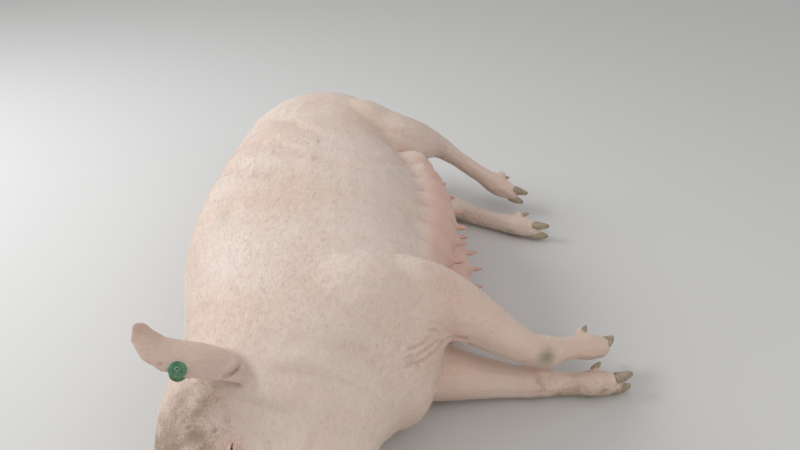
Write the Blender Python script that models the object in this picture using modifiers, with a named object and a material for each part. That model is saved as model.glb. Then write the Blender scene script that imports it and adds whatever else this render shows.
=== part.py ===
"""A large white sow lying on her right side with her legs stretched out, at life size.

The sow's length runs along Y: the snout points to -Y and the tail to +Y. Her back faces -X, her belly,
udder and legs face +X, and her left side is up (+Z). The floor is z = 0. The flesh is made whole from
lofts and ellipsoids, welded by voxel remeshing, and then parted into named pieces with thin cuts.
"""

import math

import bmesh
import bpy
from mathutils import Matrix
from mathutils import Vector
from mathutils.bvhtree import BVHTree

# Driving sizes, in metres.
GAP = 0.0004
# Two points of a cut closer than this are one point.
SLIVER = 0.0001
BODY_VOXEL = 0.009
DETAIL_VOXEL = 0.0055
FLESH_TRIANGLES = 4100
FLOOR_MARGIN = 0.08

SHARP_ANGLE = 40.0

EAR_THICKNESS = 0.008
EYE_RADIUS = 0.0125
TEAT_COUNT = 7
TEAT_SPACING = 0.094
TEAT_FIRST_Y = -0.150
TEAT_LENGTH = 0.026
# Half length of a gland.
GLAND_LENGTH = 0.066
TEAT_RADIUS = 0.0100
CLAW_LENGTH = 0.052
CLAW_WIDTH = 0.025
CLAW_HEIGHT = 0.036
# Share along a claw, and its height and width there as shares of the claw's own.
CLAW_PROFILE = [
    (0.00, 1.00, 0.86),
    (0.25, 0.96, 1.00),
    (0.60, 0.70, 0.94),
    (0.88, 0.36, 0.66),
    (1.00, 0.18, 0.36),
]
DEWCLAW_LENGTH = 0.030
DEWCLAW_RADIUS = 0.0095
TAG_RADIUS = 0.017
TAG_THICKNESS = 0.0026
TAG_STEM_RADIUS = 0.0030
TAG_HOLE_RADIUS = 0.0038
# A point straight above the place where the tag goes through the left ear.
TAG_ABOVE = (-0.412, -0.706, 0.60)

# Lofts across Y: y, centre x, centre z, half depth (x), half width (z).
TRUNK = [
    (-0.70, -0.280, 0.150, 0.208, 0.150),
    (-0.60, -0.255, 0.174, 0.232, 0.178),
    (-0.45, -0.197, 0.190, 0.282, 0.205),
    (-0.30, -0.197, 0.198, 0.304, 0.221),
    (-0.10, -0.226, 0.203, 0.316, 0.233),
    (0.10, -0.231, 0.205, 0.321, 0.241),
    (0.30, -0.240, 0.205, 0.302, 0.236),
    (0.50, -0.258, 0.203, 0.264, 0.222),
    (0.68, -0.258, 0.200, 0.246, 0.211),
    (0.80, -0.248, 0.196, 0.208, 0.193),
    (0.88, -0.240, 0.190, 0.158, 0.148),
    (0.925, -0.235, 0.186, 0.100, 0.092),
    (0.945, -0.230, 0.184, 0.036, 0.032),
]
HEAD = [
    (-1.030, -0.318, 0.078, 0.040, 0.047),
    (-1.024, -0.318, 0.078, 0.048, 0.055),
    (-1.008, -0.316, 0.079, 0.051, 0.058),
    (-0.990, -0.313, 0.081, 0.052, 0.055),
    (-0.940, -0.306, 0.087, 0.068, 0.062),
    (-0.880, -0.303, 0.097, 0.094, 0.077),
    (-0.820, -0.298, 0.111, 0.131, 0.099),
    (-0.760, -0.293, 0.128, 0.172, 0.123),
    (-0.700, -0.280, 0.148, 0.207, 0.145),
    (-0.630, -0.264, 0.168, 0.231, 0.166),
    (-0.560, -0.246, 0.180, 0.244, 0.178),
]

MUZZLE = HEAD[:4] + [
    (-0.950, -0.308, 0.086, 0.058, 0.052),
    (-0.920, -0.305, 0.090, 0.040, 0.036),
]

# Soft masses: centre x, y, z and half sizes along x, y, z.
MASSES = {
    "left_shoulder": ((-0.105, -0.375, 0.262), (0.185, 0.165, 0.158)),
    "left_haunch": ((-0.135, 0.655, 0.245), (0.165, 0.175, 0.158)),
    "right_haunch": ((-0.120, 0.610, 0.115), (0.150, 0.160, 0.125)),
    "brisket": ((0.000, -0.430, 0.150), (0.085, 0.110, 0.125)),
    "jowl": ((-0.135, -0.675, 0.128), (0.095, 0.130, 0.115)),
    "left_cheek": ((-0.200, -0.745, 0.150), (0.100, 0.110, 0.097)),
    "right_cheek": ((-0.200, -0.745, 0.100), (0.100, 0.110, 0.097)),
    "left_brow": ((-0.370, -0.775, 0.178), (0.066, 0.085, 0.060)),
    "right_brow": ((-0.370, -0.775, 0.078), (0.066, 0.085, 0.060)),
    "chin": ((-0.268, -0.937, 0.083), (0.036, 0.058, 0.042)),
    "vulva": ((-0.262, 0.940, 0.165), (0.034, 0.028, 0.026)),
}

# Limbs: x, y, z, half width across the limb (level), half height.
LEFT_FORELEG = [
    (-0.060, -0.350, 0.290, 0.125, 0.105),
    (0.030, -0.330, 0.292, 0.112, 0.092),
    (0.096, -0.322, 0.276, 0.090, 0.076),
    (0.176, -0.330, 0.234, 0.068, 0.060),
    (0.245, -0.338, 0.190, 0.053, 0.048),
    (0.300, -0.334, 0.158, 0.042, 0.040),
    (0.339, -0.322, 0.141, 0.043, 0.041),
    (0.380, -0.292, 0.126, 0.032, 0.031),
    (0.415, -0.265, 0.112, 0.030, 0.030),
    (0.448, -0.240, 0.098, 0.036, 0.035),
    (0.478, -0.222, 0.084, 0.033, 0.033),
    (0.500, -0.208, 0.073, 0.026, 0.029),
]
RIGHT_FORELEG = [
    (-0.040, -0.335, 0.120, 0.100, 0.095),
    (0.050, -0.328, 0.098, 0.083, 0.080),
    (0.120, -0.322, 0.078, 0.070, 0.066),
    (0.190, -0.316, 0.062, 0.056, 0.052),
    (0.270, -0.311, 0.048, 0.043, 0.042),
    (0.330, -0.307, 0.043, 0.043, 0.040),
    (0.380, -0.305, 0.036, 0.032, 0.031),
    (0.425, -0.304, 0.034, 0.030, 0.030),
    (0.462, -0.304, 0.036, 0.035, 0.033),
    (0.492, -0.303, 0.035, 0.033, 0.032),
    (0.516, -0.302, 0.034, 0.026, 0.028),
]
LEFT_HINDLEG = [
    (-0.140, 0.640, 0.255, 0.170, 0.125),
    (-0.040, 0.645, 0.274, 0.140, 0.100),
    (0.020, 0.675, 0.264, 0.110, 0.078),
    (0.070, 0.725, 0.238, 0.074, 0.060),
    (0.110, 0.768, 0.211, 0.047, 0.045),
    (0.140, 0.792, 0.188, 0.040, 0.038),
    (0.185, 0.778, 0.162, 0.032, 0.030),
    (0.235, 0.754, 0.135, 0.029, 0.029),
    (0.280, 0.730, 0.112, 0.030, 0.030),
    (0.317, 0.710, 0.094, 0.037, 0.035),
    (0.349, 0.694, 0.081, 0.034, 0.033),
    (0.373, 0.682, 0.072, 0.026, 0.029),
]
RIGHT_HINDLEG = [
    (-0.140, 0.600, 0.110, 0.150, 0.100),
    (-0.020, 0.575, 0.086, 0.115, 0.080),
    (0.045, 0.580, 0.074, 0.088, 0.066),
    (0.105, 0.603, 0.062, 0.064, 0.054),
    (0.150, 0.622, 0.052, 0.046, 0.044),
    (0.185, 0.628, 0.043, 0.040, 0.039),
    (0.230, 0.602, 0.035, 0.031, 0.031),
    (0.280, 0.570, 0.034, 0.029, 0.030),
    (0.325, 0.545, 0.034, 0.030, 0.030),
    (0.365, 0.523, 0.037, 0.037, 0.034),
    (0.398, 0.505, 0.036, 0.034, 0.033),
    (0.422, 0.492, 0.035, 0.026, 0.029),
]
TAIL = [
    (-0.300, 0.850, 0.215, 0.040, 0.042),
    (-0.316, 0.912, 0.208, 0.028, 0.030),
    (-0.328, 0.962, 0.180, 0.021, 0.022),
    (-0.336, 0.990, 0.135, 0.017, 0.017),
    (-0.330, 0.998, 0.085, 0.014, 0.014),
    (-0.308, 1.001, 0.042, 0.013, 0.012),
    (-0.275, 1.008, 0.018, 0.012, 0.011),
    (-0.242, 1.015, 0.013, 0.010, 0.009),
    (-0.218, 1.012, 0.012, 0.006, 0.006),
]

# Ears: x, y, z along the middle of the ear and its half width there.
LEFT_EAR = [
    (-0.270, -0.628, 0.305, 0.036),
    (-0.312, -0.642, 0.345, 0.046),
    (-0.362, -0.654, 0.368, 0.055),
    (-0.414, -0.662, 0.380, 0.055),
    (-0.460, -0.658, 0.391, 0.043),
    (-0.490, -0.640, 0.407, 0.027),
    (-0.501, -0.617, 0.424, 0.010),
]
RIGHT_EAR = [
    (-0.330, -0.640, 0.070, 0.040),
    (-0.400, -0.665, 0.044, 0.050),
    (-0.452, -0.690, 0.031, 0.054),
    (-0.496, -0.712, 0.023, 0.046),
    (-0.530, -0.732, 0.017, 0.032),
    (-0.556, -0.748, 0.013, 0.012),
]
EYES = {
    "eye_left": (-0.309, -0.772, 1.0),
    "eye_right": (-0.309, -0.772, -1.0),
}
EYE_PROUD = 0.0035

# Thin slabs that part the flesh: centre, half sizes (a zero is the thin way), turn about Z in degrees.
CUTS = [
    ((-0.310, -0.920, 0.100), (0.200, 0.000, 0.200), 0.0),
    ((-0.250, -0.590, 0.200), (0.450, 0.000, 0.350), -6.0),
    ((-0.200, -0.470, 0.200), (0.450, 0.000, 0.350), -6.0),
    ((0.130, -0.335, 0.270), (0.000, 0.120, 0.100), 0.0),
    ((0.130, -0.335, 0.075), (0.000, 0.120, 0.085), 0.0),
    ((0.315, -0.330, 0.155), (0.000, 0.080, 0.062), 0.0),
    ((0.315, -0.310, 0.040), (0.000, 0.070, 0.053), 0.0),
    ((0.080, 0.685, 0.245), (0.000, 0.140, 0.092), 0.0),
    ((0.080, 0.585, 0.068), (0.000, 0.095, 0.083), 0.0),
    ((0.130, 0.762, 0.206), (0.000, 0.090, 0.068), 0.0),
    ((0.165, 0.622, 0.045), (0.000, 0.070, 0.056), 0.0),
    ((0.075, 0.130, 0.200), (0.000, 0.346, 0.250), 0.0),
    ((0.120, -0.216, 0.200), (0.046, 0.000, 0.250), 0.0),
    ((0.120, 0.476, 0.200), (0.046, 0.000, 0.250), 0.0),
    ((-0.2525, 0.440, 0.200), (0.3277, 0.000, 0.300), 0.0),
    ((-0.3320, 0.953, 0.190), (0.0400, 0.000, 0.045), 0.0),
]

# A point near the middle of each piece of flesh, which gives the piece its name.
FLESH_PIECES = {
    "snout": (-0.31, -0.97, 0.09),
    "head": (-0.27, -0.76, 0.15),
    "neck": (-0.22, -0.54, 0.20),
    "trunk": (-0.22, 0.00, 0.20),
    "rump": (-0.20, 0.70, 0.20),
    "udder": (0.14, 0.13, 0.14),
    "tail": (-0.30, 1.00, 0.05),
    "foreleg_left_upper": (0.21, -0.33, 0.21),
    "foreleg_left_lower": (0.42, -0.26, 0.11),
    "foreleg_right_upper": (0.21, -0.33, 0.06),
    "foreleg_right_lower": (0.42, -0.32, 0.03),
    "hindleg_left_upper": (0.11, 0.74, 0.24),
    "hindleg_left_lower": (0.26, 0.77, 0.13),
    "hindleg_right_upper": (0.12, 0.59, 0.07),
    "hindleg_right_lower": (0.30, 0.56, 0.04),
}
BODY_COLOUR = (0.78, 0.56, 0.47)
UDDER_COLOUR = (0.80, 0.44, 0.36)
EAR_COLOUR = (0.76, 0.50, 0.42)
CLAW_COLOUR = (0.23, 0.19, 0.13)
EYE_COLOUR = (0.05, 0.035, 0.03)
TAG_COLOUR = (0.10, 0.33, 0.16)


def clear_scene():
    for obj in list(bpy.data.objects):
        bpy.data.objects.remove(obj, do_unlink=True)


def make_collection(name):
    collection = bpy.data.collections.new(name)
    bpy.context.scene.collection.children.link(collection)
    return collection


def make_material(name, colour, roughness):
    material = bpy.data.materials.new(name)
    material.use_nodes = True
    shader = material.node_tree.nodes["Principled BSDF"]
    shader.inputs["Base Color"].default_value = (*colour, 1.0)
    shader.inputs["Roughness"].default_value = roughness
    shader.inputs["Metallic"].default_value = 0.0
    return material


def object_from_bmesh(name, bm, collection):
    bmesh.ops.triangulate(bm, faces=bm.faces)
    bmesh.ops.recalc_face_normals(bm, faces=bm.faces)
    mesh = bpy.data.meshes.new(name)
    bm.to_mesh(mesh)
    bm.free()
    obj = bpy.data.objects.new(name, mesh)
    collection.objects.link(obj)
    return obj


def apply_modifiers(obj):
    """Replace the object's mesh with its evaluated one and drop the modifiers."""
    bpy.context.view_layer.update()
    graph = bpy.context.evaluated_depsgraph_get()
    mesh = bpy.data.meshes.new_from_object(obj.evaluated_get(graph))
    obj.modifiers.clear()
    obj.data = mesh


def curve_value(table, place, column):
    """Value of one column at a place along the first column, on a smooth curve through the table."""
    last = len(table) - 2
    index = 0
    while index < last and place > table[index + 1][0]:
        index += 1
    left = table[index]
    right = table[index + 1]
    span = right[0] - left[0]
    before = table[max(index - 1, 0)]
    after = table[min(index + 2, len(table) - 1)]
    slope_left = (right[column] - before[column]) / (right[0] - before[0])
    slope_right = (after[column] - left[column]) / (after[0] - left[0])
    t = (place - left[0]) / span
    hermite_left = (1.0 + 2.0 * t) * (1.0 - t) ** 2
    hermite_right = t * t * (3.0 - 2.0 * t)
    tangent_left = t * (1.0 - t) ** 2 * span
    tangent_right = t * t * (t - 1.0) * span
    value = hermite_left * left[column] + hermite_right * right[column]
    return value + tangent_left * slope_left + tangent_right * slope_right


def refine(stations, steps):
    """More stations on a smooth curve through the given ones, evenly spaced along their lengths."""
    travelled = 0.0
    table = [(0.0, *stations[0])]
    for here, there in zip(stations, stations[1:]):
        travelled += (Vector(there[:3]) - Vector(here[:3])).length
        table.append((travelled, *there))
    columns = len(stations[0])
    refined = []
    for step in range(steps + 1):
        place = travelled * step / steps
        refined.append([curve_value(table, place, column + 1) for column in range(columns)])
    return refined


def superellipse(angle, power):
    cosine = math.cos(angle)
    sine = math.sin(angle)
    across = math.copysign(abs(cosine) ** (2.0 / power), cosine)
    upward = math.copysign(abs(sine) ** (2.0 / power), sine)
    return across, upward


def loft_rings(bm, rings):
    """Join rings of equal count into a closed tube with flat ends."""
    loops = [[bm.verts.new(point) for point in ring] for ring in rings]
    count = len(rings[0])
    for loop, following in zip(loops, loops[1:]):
        for index in range(count):
            beside = (index + 1) % count
            bm.faces.new((loop[index], loop[beside], following[beside], following[index]))
    bm.faces.new(loops[0])
    bm.faces.new(loops[-1])


def loft_along_y(name, stations, power, count, steps, collection):
    table = [(x, y, z, half_x, half_z) for y, x, z, half_x, half_z in stations]
    rings = []
    for x, y, z, half_x, half_z in refine(table, steps):
        ring = []
        for index in range(count):
            across, upward = superellipse(2.0 * math.pi * index / count, power)
            ring.append(Vector((x + half_x * across, y, z + half_z * upward)))
        rings.append(ring)
    bm = bmesh.new()
    loft_rings(bm, rings)
    return object_from_bmesh(name, bm, collection)


def limb(name, stations, count, steps, collection, upright=Vector((0.0, 0.0, 1.0))):
    """A tapering limb swept along its stations, closed with a rounded tip."""
    fine = refine(stations, steps)
    centres = [Vector(station[:3]) for station in fine]
    rings = []
    for index, station in enumerate(fine):
        ahead = centres[min(index + 1, len(centres) - 1)]
        behind = centres[max(index - 1, 0)]
        forward = (ahead - behind).normalized()
        side = forward.cross(upright).normalized()
        rise = side.cross(forward)
        ring = []
        for corner in range(count):
            angle = 2.0 * math.pi * corner / count
            offset = side * station[3] * math.cos(angle) + rise * station[4] * math.sin(angle)
            ring.append(centres[index] + offset)
        rings.append(ring)
    tip = centres[-1]
    forward = (centres[-1] - centres[-2]).normalized()
    for reach, shrink in ((0.45, 0.85), (0.80, 0.50)):
        step = forward * fine[-1][3] * reach
        rings.append([tip + (point - tip) * shrink + step for point in rings[len(fine) - 1]])
    bm = bmesh.new()
    loft_rings(bm, rings)
    return object_from_bmesh(name, bm, collection)


def ellipsoid(name, centre, half_sizes, collection):
    bm = bmesh.new()
    bmesh.ops.create_uvsphere(bm, u_segments=24, v_segments=14, radius=1.0)
    bmesh.ops.scale(bm, vec=half_sizes, verts=bm.verts)
    bmesh.ops.translate(bm, vec=centre, verts=bm.verts)
    return object_from_bmesh(name, bm, collection)


def join_objects(name, objects, collection):
    bm = bmesh.new()
    for obj in objects:
        bm.from_mesh(obj.data)
        bpy.data.objects.remove(obj, do_unlink=True)
    return object_from_bmesh(name, bm, collection)


def weld(obj, voxel, smoothing):
    """Weld overlapping closed shapes into one skin and soften the joins."""
    remesh = obj.modifiers.new("Weld", "REMESH")
    remesh.mode = "VOXEL"
    remesh.voxel_size = voxel
    smooth = obj.modifiers.new("Soften", "SMOOTH")
    smooth.factor = 0.5
    smooth.iterations = smoothing
    apply_modifiers(obj)


def thin_out(obj, triangles):
    count = sum(len(polygon.vertices) - 2 for polygon in obj.data.polygons)
    decimate = obj.modifiers.new("Thin", "DECIMATE")
    decimate.ratio = triangles / count
    decimate.use_collapse_triangulate = True
    apply_modifiers(obj)


def boolean(obj, other, operation, solver="EXACT"):
    modifier = obj.modifiers.new(operation.title(), "BOOLEAN")
    modifier.operation = operation
    modifier.solver = solver
    modifier.object = other
    apply_modifiers(obj)


def box(name, centre, half_sizes, turn, collection):
    bm = bmesh.new()
    bmesh.ops.create_cube(bm, size=2.0)
    bmesh.ops.scale(bm, vec=half_sizes, verts=bm.verts)
    bmesh.ops.rotate(bm, cent=(0, 0, 0), matrix=Matrix.Rotation(math.radians(turn), 3, "Z"), verts=bm.verts)
    bmesh.ops.translate(bm, vec=centre, verts=bm.verts)
    return object_from_bmesh(name, bm, collection)


def gland_edges(index):
    """How far the upper and the lower row stand out at one pair of glands."""
    fullness = math.sin(math.pi * (index + 1.6) / (TEAT_COUNT + 2.0))
    return 0.075 + 0.085 * fullness, 0.100 + 0.105 * fullness


def udder_masses():
    """The two rows of glands, as (centre, half sizes) along the belly."""
    masses = []
    for index in range(TEAT_COUNT):
        y = TEAT_FIRST_Y + TEAT_SPACING * index
        upper_edge, lower_edge = gland_edges(index)
        masses.append(((upper_edge - 0.080, y, 0.250), (0.080, GLAND_LENGTH, 0.090)))
        masses.append(((lower_edge - 0.090, y, 0.095), (0.090, GLAND_LENGTH, 0.095)))
    return masses


def teat_roots():
    """Root point and direction of each teat."""
    teats = []
    for index in range(TEAT_COUNT):
        y = TEAT_FIRST_Y + TEAT_SPACING * index
        upper_edge, lower_edge = gland_edges(index)
        teats.append((Vector((upper_edge - 0.012, y, 0.232)), Vector((0.97, 0.0, -0.10))))
        teats.append((Vector((lower_edge - 0.012, y, 0.100)), Vector((0.99, 0.0, -0.02))))
    return teats


def make_flesh(collection):
    """The whole animal's flesh but for the ears, as one closed skin."""
    coarse = [
        loft_along_y("trunk_form", TRUNK, 2.15, 40, 60, collection),
        loft_along_y("head_form", HEAD, 2.2, 32, 60, collection),
    ]
    for name, (centre, half_sizes) in MASSES.items():
        if name not in ("chin", "vulva"):
            coarse.append(ellipsoid(name, centre, half_sizes, collection))
    for index, (centre, half_sizes) in enumerate(udder_masses()):
        coarse.append(ellipsoid("gland_%02d" % index, centre, half_sizes, collection))
    for name, stations in (
        ("left_fore", LEFT_FORELEG[:5]),
        ("right_fore", RIGHT_FORELEG[:4]),
        ("left_hind", LEFT_HINDLEG[:5]),
        ("right_hind", RIGHT_HINDLEG[:5]),
    ):
        coarse.append(limb(name, stations, 24, 16, collection))
    form = join_objects("form", coarse, collection)
    weld(form, BODY_VOXEL, 22)

    fine = [form, loft_along_y("muzzle", MUZZLE, 2.2, 28, 24, collection)]
    for name in ("chin", "vulva"):
        centre, half_sizes = MASSES[name]
        fine.append(ellipsoid(name, centre, half_sizes, collection))
    fine.append(limb("left_fore", LEFT_FORELEG, 20, 60, collection))
    fine.append(limb("right_fore", RIGHT_FORELEG, 20, 60, collection))
    fine.append(limb("left_hind", LEFT_HINDLEG, 20, 60, collection))
    fine.append(limb("right_hind", RIGHT_HINDLEG, 20, 60, collection))
    fine.append(limb("tail_form", TAIL, 12, 40, collection, Vector((1.0, 0.0, 0.3))))
    for root, direction in teat_roots():
        stations = []
        for reach, radius in ((-0.6, 1.5), (0.25, 1.15), (0.7, 1.0), (1.0, 0.8)):
            point = root + direction * TEAT_LENGTH * reach + direction * 0.010
            stations.append((*point, TEAT_RADIUS * radius, TEAT_RADIUS * radius))
        fine.append(limb("teat", stations, 10, 6, collection))
    flesh = join_objects("flesh", fine, collection)
    weld(flesh, DETAIL_VOXEL, 3)
    thin_out(flesh, FLESH_TRIANGLES)
    return flesh


def surface_point(tree, start, direction):
    location, normal, _, _ = tree.ray_cast(start, direction)
    return location, normal


def tree_of(obj):
    bm = bmesh.new()
    bm.from_mesh(obj.data)
    tree = BVHTree.FromBMesh(bm)
    bm.free()
    return tree


def swollen_copy(obj, distance, collection):
    """A copy of a closed mesh moved out by a small distance along its normals."""
    bm = bmesh.new()
    bm.from_mesh(obj.data)
    bm.normal_update()
    moves = [vertex.normal * distance for vertex in bm.verts]
    for vertex, move in zip(bm.verts, moves):
        vertex.co += move
    return object_from_bmesh(obj.name + "_room", bm, collection)


def ear(name, stations, cup, face, collection):
    """A cupped leaf of skin along its middle line; face is the side its back looks to."""
    fine = refine(stations, 9)
    centres = [Vector(station[:3]) for station in fine]
    spread = 6
    bm = bmesh.new()
    rings = []
    for index, station in enumerate(fine):
        ahead = centres[min(index + 1, len(centres) - 1)]
        behind = centres[max(index - 1, 0)]
        forward = (ahead - behind).normalized()
        side = forward.cross(face).normalized()
        back = side.cross(forward).normalized()
        if back.dot(face) < 0.0:
            back = -back
        along = index / (len(fine) - 1)
        depth = cup * (1.0 - 0.65 * along)
        outer = []
        inner = []
        for step in range(spread + 1):
            share = 2.0 * step / spread - 1.0
            bend = depth * share * share * station[3]
            thick = EAR_THICKNESS * (1.0 - 0.35 * share * share) * (1.0 - 0.25 * along)
            place = centres[index] + side * share * station[3] - back * bend
            outer.append(place + back * thick * 0.5)
            inner.append(place - back * thick * 0.5)
        rings.append(outer + inner[::-1])
    loft_rings(bm, rings)
    return object_from_bmesh(name, bm, collection)


def claw_mesh(name, coronet, axis, dorsal, length, width, height, collection):
    """A hoof-like claw: a sloping wall in front and a flat sole behind."""
    side = axis.cross(dorsal).normalized()
    rings = []
    for along, tall, wide in CLAW_PROFILE:
        half_tall = 0.5 * height * tall
        centre = coronet + axis * length * along - dorsal * (0.5 * height - half_tall)
        ring = []
        for corner in range(8):
            across, upward = superellipse(2.0 * math.pi * (corner + 0.5) / 8.0, 2.6)
            ring.append(centre + side * 0.5 * width * wide * across + dorsal * half_tall * upward)
        rings.append(ring)
    bm = bmesh.new()
    loft_rings(bm, rings)
    return object_from_bmesh(name, bm, collection)


def foot_claws(leg, stations, tilt, collection):
    """Two main claws and two dewclaws for one foot, named for the leg."""
    tip = Vector(stations[-1][:3])
    fetlock = Vector(stations[-3][:3])
    axis = (tip - fetlock).normalized()
    front = Vector((0.0, -1.0, 0.0))
    dorsal = (front - axis * front.dot(axis)).normalized()
    side = axis.cross(dorsal).normalized()
    if side.z < 0.0:
        side = -side
    claws = []
    for label, sign in (("upper", 1.0), ("lower", -1.0)):
        toe = (axis + side * 0.07 * sign + dorsal * tilt).normalized()
        wall = (dorsal - toe * dorsal.dot(toe)).normalized()
        coronet = tip + side * 0.0145 * sign - axis * 0.004
        name = "%s_claw_%s" % (leg, label)
        claws.append(claw_mesh(name, coronet, toe, wall, CLAW_LENGTH, CLAW_WIDTH, CLAW_HEIGHT, collection))
        back = (axis * 0.72 - dorsal * 0.62 + side * 0.25 * sign).normalized()
        root = fetlock - dorsal * 0.026 + side * 0.018 * sign + axis * 0.004
        stations_here = []
        for reach, radius in ((0.0, 0.95), (0.4, 1.0), (0.75, 0.85), (1.0, 0.55)):
            point = root + back * DEWCLAW_LENGTH * reach
            stations_here.append((*point, DEWCLAW_RADIUS * radius, DEWCLAW_RADIUS * radius))
        name = "%s_dewclaw_%s" % (leg, label)
        claws.append(limb(name, stations_here, 6, 2, collection))
    return claws


def tag_pieces(ear_object, collection):
    """A round two-part ear tag: a button with a stem on the back of the ear and a washer inside it."""
    tree = tree_of(ear_object)
    location, normal = surface_point(tree, Vector(TAG_ABOVE), Vector((0.0, 0.0, -1.0)))
    axis = normal.normalized()
    turn = axis.to_track_quat("Z", "Y").to_matrix().to_4x4()
    seat = Matrix.Translation(location) @ turn
    button_profile = [
        (0.0016, 0.0078),
        (0.0042, 0.0078),
        (0.0070, TAG_THICKNESS + 0.0012),
        (TAG_RADIUS, TAG_THICKNESS),
        (TAG_RADIUS, 0.0010),
        (TAG_STEM_RADIUS, 0.0006),
        (TAG_STEM_RADIUS, -0.0150),
        (0.0016, -0.0150),
    ]
    washer_profile = [
        (TAG_STEM_RADIUS + GAP, -0.0118),
        (TAG_RADIUS, -0.0118),
        (TAG_RADIUS, -0.0138),
        (TAG_STEM_RADIUS + GAP, -0.0138),
    ]
    pieces = []
    for name, profile in (("ear_tag_button", button_profile), ("ear_tag_washer", washer_profile)):
        bm = bmesh.new()
        count = 12
        loops = []
        for radius, height in profile:
            loop = []
            for corner in range(count):
                angle = 2.0 * math.pi * corner / count
                loop.append(bm.verts.new((radius * math.cos(angle), radius * math.sin(angle), height)))
            loops.append(loop)
        for index, loop in enumerate(loops):
            following = loops[(index + 1) % len(loops)]
            for corner in range(count):
                beside = (corner + 1) % count
                bm.faces.new((loop[corner], loop[beside], following[beside], following[corner]))
        bmesh.ops.transform(bm, matrix=seat, verts=bm.verts)
        pieces.append(object_from_bmesh(name, bm, collection))
    bm = bmesh.new()
    bmesh.ops.create_cone(
        bm, cap_ends=True, segments=20, radius1=TAG_HOLE_RADIUS, radius2=TAG_HOLE_RADIUS, depth=0.06
    )
    bmesh.ops.transform(bm, matrix=seat, verts=bm.verts)
    cutter = object_from_bmesh("ear_tag_hole", bm, collection)
    return pieces, cutter


def loose_parts(bm):
    """The connected groups of vertices of a mesh."""
    waiting = set(bm.verts)
    groups = []
    while waiting:
        start = waiting.pop()
        group = [start]
        front = [start]
        while front:
            vertex = front.pop()
            for edge in vertex.link_edges:
                other = edge.other_vert(vertex)
                if other in waiting:
                    waiting.discard(other)
                    group.append(other)
                    front.append(other)
        groups.append(group)
    return groups


def nearest_name(group):
    low = Vector([min(vertex.co[axis] for vertex in group) for axis in range(3)])
    high = Vector([max(vertex.co[axis] for vertex in group) for axis in range(3)])
    middle = (low + high) / 2.0
    return min(FLESH_PIECES, key=lambda name: (Vector(FLESH_PIECES[name]) - middle).length)


def part_flesh(flesh, collection, helpers):
    """Cut the flesh into its named pieces, leaving a thin gap at each cut."""
    for centre, half_sizes, turn in CUTS:
        slab = box("slab", centre, [max(half, GAP / 2.0) for half in half_sizes], turn, helpers)
        boolean(flesh, slab, "DIFFERENCE", "MANIFOLD")
        bpy.data.objects.remove(slab, do_unlink=True)
    bm = bmesh.new()
    bm.from_mesh(flesh.data)
    pieces = []
    for group in loose_parts(bm):
        part = bmesh.new()
        copies = {vertex: part.verts.new(vertex.co) for vertex in group}
        for face in {face for vertex in group for face in vertex.link_faces}:
            part.faces.new([copies[vertex] for vertex in face.verts])
        bmesh.ops.remove_doubles(part, verts=part.verts, dist=SLIVER)
        bmesh.ops.dissolve_degenerate(part, dist=SLIVER, edges=part.edges)
        pieces.append(object_from_bmesh(nearest_name(group), part, collection))
    bm.free()
    bpy.data.objects.remove(flesh, do_unlink=True)
    return pieces


def centre_on_floor(objects):
    """Move every object so that the bounding box is centred over the origin and starts at z = 0."""
    corners = []
    for obj in objects:
        corners.extend(vertex.co for vertex in obj.data.vertices)
    low = Vector([min(corner[axis] for corner in corners) for axis in range(3)])
    high = Vector([max(corner[axis] for corner in corners) for axis in range(3)])
    shift = Vector((-(low.x + high.x) / 2.0, -(low.y + high.y) / 2.0, -low.z))
    meshes = {obj.data for obj in objects}
    for mesh in meshes:
        mesh.transform(Matrix.Translation(shift))
    return shift


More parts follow.
